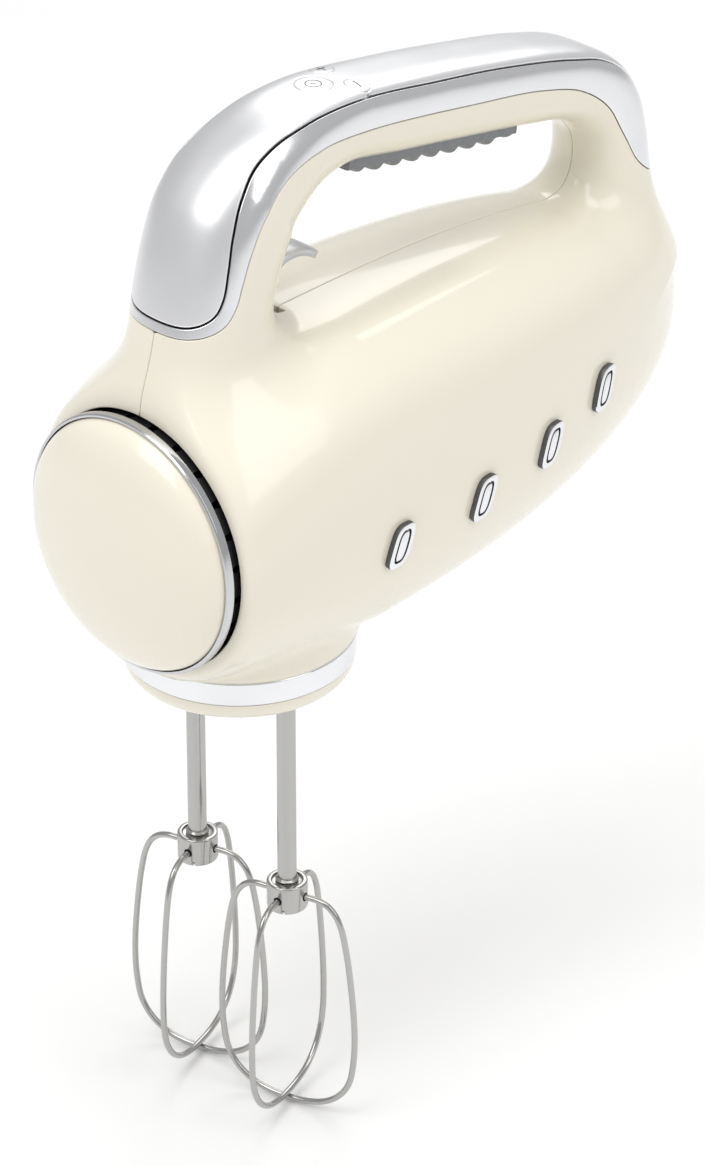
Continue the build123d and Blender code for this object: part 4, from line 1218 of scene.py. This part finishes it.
def gland():
    end = GLAND_HIGH[0]
    outline = rounded([(end, GLAND_BORE, 0.5), (end, 7.9, 1.2), (end - 1.7, 8.5, 0.3),
                       (end - 1.7, 7.0, 0.1), (end - 9.0, 7.0, 0), (end - 9.0, 9.3, 0.3),
                       (end - 11.4, 9.3, 0.3), (end - 11.4, 7.0, 0), (GLAND_LOW[0], 5.6, 0.4),
                       (GLAND_LOW[0], GLAND_BORE, 0.3)])
    return turned("cord_grommet", outline, "X", (0, 0, GLAND_Z), 96)


finished(gland(), "casing", "black_rubber", "cord_gland", RUBBER)


# --- beaters
SHAFT_R = 2.7
HUB_R = 5.8
HUB_LOW = node_box("beater_hub_left")[0][2]
HUB_TOP = node_box("beater_hub_left")[1][2]
SHAFT_TOP = node_box("beater_shaft_left")[1][2]
WIRE_BOTTOM = node_box("beater_wires_left")[0][2]
WIRE_EXIT = HUB_TOP - 4.4
WIRE_R = 0.9
WIRE_TURN = math.radians(16.0)
# a loop's half width against its drop below the hub's holes
WIRE_SHOULDER = [
    (4.3, 0), (7.0, 0), (10.0, 0.1), (13.0, 1.2), (15.4, 3.6), (17.0, 7.0), (18.6, 14.0), (20.0, 24.0),
    (21.1, 36.0), (21.4, 44.0), (21.0, 52.0),
]


def shaft(y):
    outline = rounded([(HUB_LOW + 0.2, 0, 0), (HUB_LOW + 0.2, SHAFT_R, 0.3), (HUB_TOP - 1.0, SHAFT_R, 0),
                       (HUB_TOP - 1.0, 3.3, 0), (HUB_TOP + 0.5, 3.3, 0.4), (HUB_TOP + 0.9, SHAFT_R, 0.2),
                       (SHAFT_TOP - 1.2, SHAFT_R, 0.6), (SHAFT_TOP, SHAFT_R - 1.1, 0.5), (SHAFT_TOP, 0, 0)])
    made = turned("shaft", outline, "Z", (0, y, 0), 64)
    parts = [made]
    for side in (-1, 1):
        wing = rounded([(side * 2.2, -2.7, 0), (side * 3.6, -2.7, 0.5), (side * 3.9, 0.1, 0.5),
                        (side * 2.2, 0.1, 0)])
        plate = flat_piece("wing", wing, 0.75, 0.2)
        for v in plate.data.vertices:
            v.co.y += y / 1000
        parts.append(plate)
    return joined("shaft", *parts)


def hub(y):
    outline = rounded([(HUB_LOW, SHAFT_R + 0.05, 0.2), (HUB_LOW, HUB_R, 0.6), (HUB_TOP, HUB_R, 0.55),
                       (HUB_TOP, 4.4, 0.25), (HUB_TOP - 0.8, 4.3, 0.2), (HUB_TOP - 0.8, SHAFT_R + 0.05, 0)])
    made = turned("hub", outline, "Z", (0, y, 0), 96)
    tools = []
    for k in range(4):
        a = WIRE_TURN + k * math.pi / 2
        out = np.array((math.cos(a), math.sin(a), 0))
        centre = np.array((0, y, WIRE_EXIT))
        tools.append(rod("hole", centre + out * 4.0, centre + out * 7.0, 1.3))
        across = np.array((-math.sin(a), math.cos(a), 0))
        notch = centre + across * 1.7 + (0, 0, -3.7)
        corners = [notch + out * r + across * s + (0, 0, h) for r in (4.2, 7.0)
                   for s, h in ((-0.35, -1.4), (0.35, -1.4), (0.35, 1.0), (-0.35, 1.0))]
        tools.append(lofted("notch", [np.array(corners[:4]), np.array(corners[4:])]))
    return carved(made, joined("holes", *tools))


def wire(y, turn, bottom):
    side = [(r, WIRE_EXIT - drop) for r, drop in WIRE_SHOULDER]
    side += [(19.4, bottom + 11.4), (16.2, bottom + 6.4), (11.6, bottom + 3.0), (6.0, bottom + 1.3)]
    side_view = smooth_curve(side + [(0, bottom + 0.9)] + [(-r, z) for r, z in side[::-1]], 5)
    path = [(r * math.cos(turn), y + r * math.sin(turn), z) for r, z in side_view]
    return swept("wire", path, WIRE_R)


for side, sign in (("left", 1), ("right", -1)):
    y = sign * BEATER_Y
    body = "beater_" + side
    finished(joined("whisk_shaft_" + side, shaft(y)), body, "beater_steel", "beater_shaft_" + side, STEEL)
    finished(joined("whisk_hub_" + side, hub(y)), body, "beater_steel", "beater_hub_" + side, STEEL)
    loops = joined("whisk_loops_" + side, wire(y, WIRE_TURN, WIRE_BOTTOM + 2.1),
                   wire(y, WIRE_TURN + math.pi / 2, WIRE_BOTTOM))
    finished(loops, body, "beater_steel", "beater_wires_" + side, STEEL)


# --- floor, light and camera
def look(ob, target):
    away = (ob.location - Vector(target)).normalized()
    ob.rotation_mode = "QUATERNION"
    ob.rotation_quaternion = away.to_track_quat("Z", "Y")


CAMERA_AZIMUTH = math.radians(-46.2)
CAMERA_ELEVATION = math.radians(30.7)
CAMERA_DISTANCE = 1570.8
CAMERA_SIDE = 31.17
CAMERA_RISE = 16.92
FOCAL_SHARE = 5692.0 / 1165.0

back = Vector((math.sin(CAMERA_AZIMUTH) * math.cos(CAMERA_ELEVATION),
               -math.cos(CAMERA_AZIMUTH) * math.cos(CAMERA_ELEVATION), math.sin(CAMERA_ELEVATION)))
right = Vector((math.cos(CAMERA_AZIMUTH), math.sin(CAMERA_AZIMUTH), 0))
up = back.cross(right)
camera = add_object("camera", bpy.data.cameras.new("camera"))
camera.data.sensor_width = 36.0
camera.data.lens = 36.0 * FOCAL_SHARE
camera.location = Vector(place(back * CAMERA_DISTANCE + right * CAMERA_SIDE + up * CAMERA_RISE))
camera.rotation_mode = "QUATERNION"
camera.rotation_quaternion = Matrix((right, up, back)).transposed().to_quaternion()
camera.data.clip_start = 0.05
camera.data.clip_end = 60.0
bpy.context.scene.camera = camera

FLOOR_Z = cad_low.z - 0.0005
bpy.ops.mesh.primitive_plane_add(size=30.0, location=(0, 0, FLOOR_Z))
floor = bpy.context.object
floor.name = "floor"
dress(floor, material("pale_floor", (0.93, 0.93, 0.93), 0.6, grain=(3.0, 0.01, 0.05)))


def softbox(name, azimuth, elevation, distance, size, power):
    light = bpy.data.lights.new(name, "AREA")
    light.shape = "RECTANGLE"
    light.size, light.size_y = size
    light.energy = power
    ob = add_object(name, light)
    a, e = math.radians(azimuth), math.radians(elevation)
    ob.location = distance * Vector((math.sin(a) * math.cos(e), -math.cos(a) * math.cos(e), math.sin(e)))
    look(ob, (0, 0, -0.05))


softbox("key", -95.0, 48.0, 1.4, (0.9, 0.9), 6.5)
softbox("side", 10.0, 35.0, 1.5, (0.7, 1.1), 3.8)
softbox("top", -30.0, 85.0, 1.5, (1.4, 1.0), 10.0)
softbox("rear", 120.0, 40.0, 1.6, (1.0, 0.8), 6.0)

world = bpy.data.worlds.new("studio")
bpy.context.scene.world = world
world.use_nodes = True
sky = world.node_tree.nodes["Background"]
sky.inputs["Color"].default_value = (1.0, 1.0, 1.0, 1.0)
sky.inputs["Strength"].default_value = 0.54
bpy.context.scene.view_settings.view_transform = "Standard"
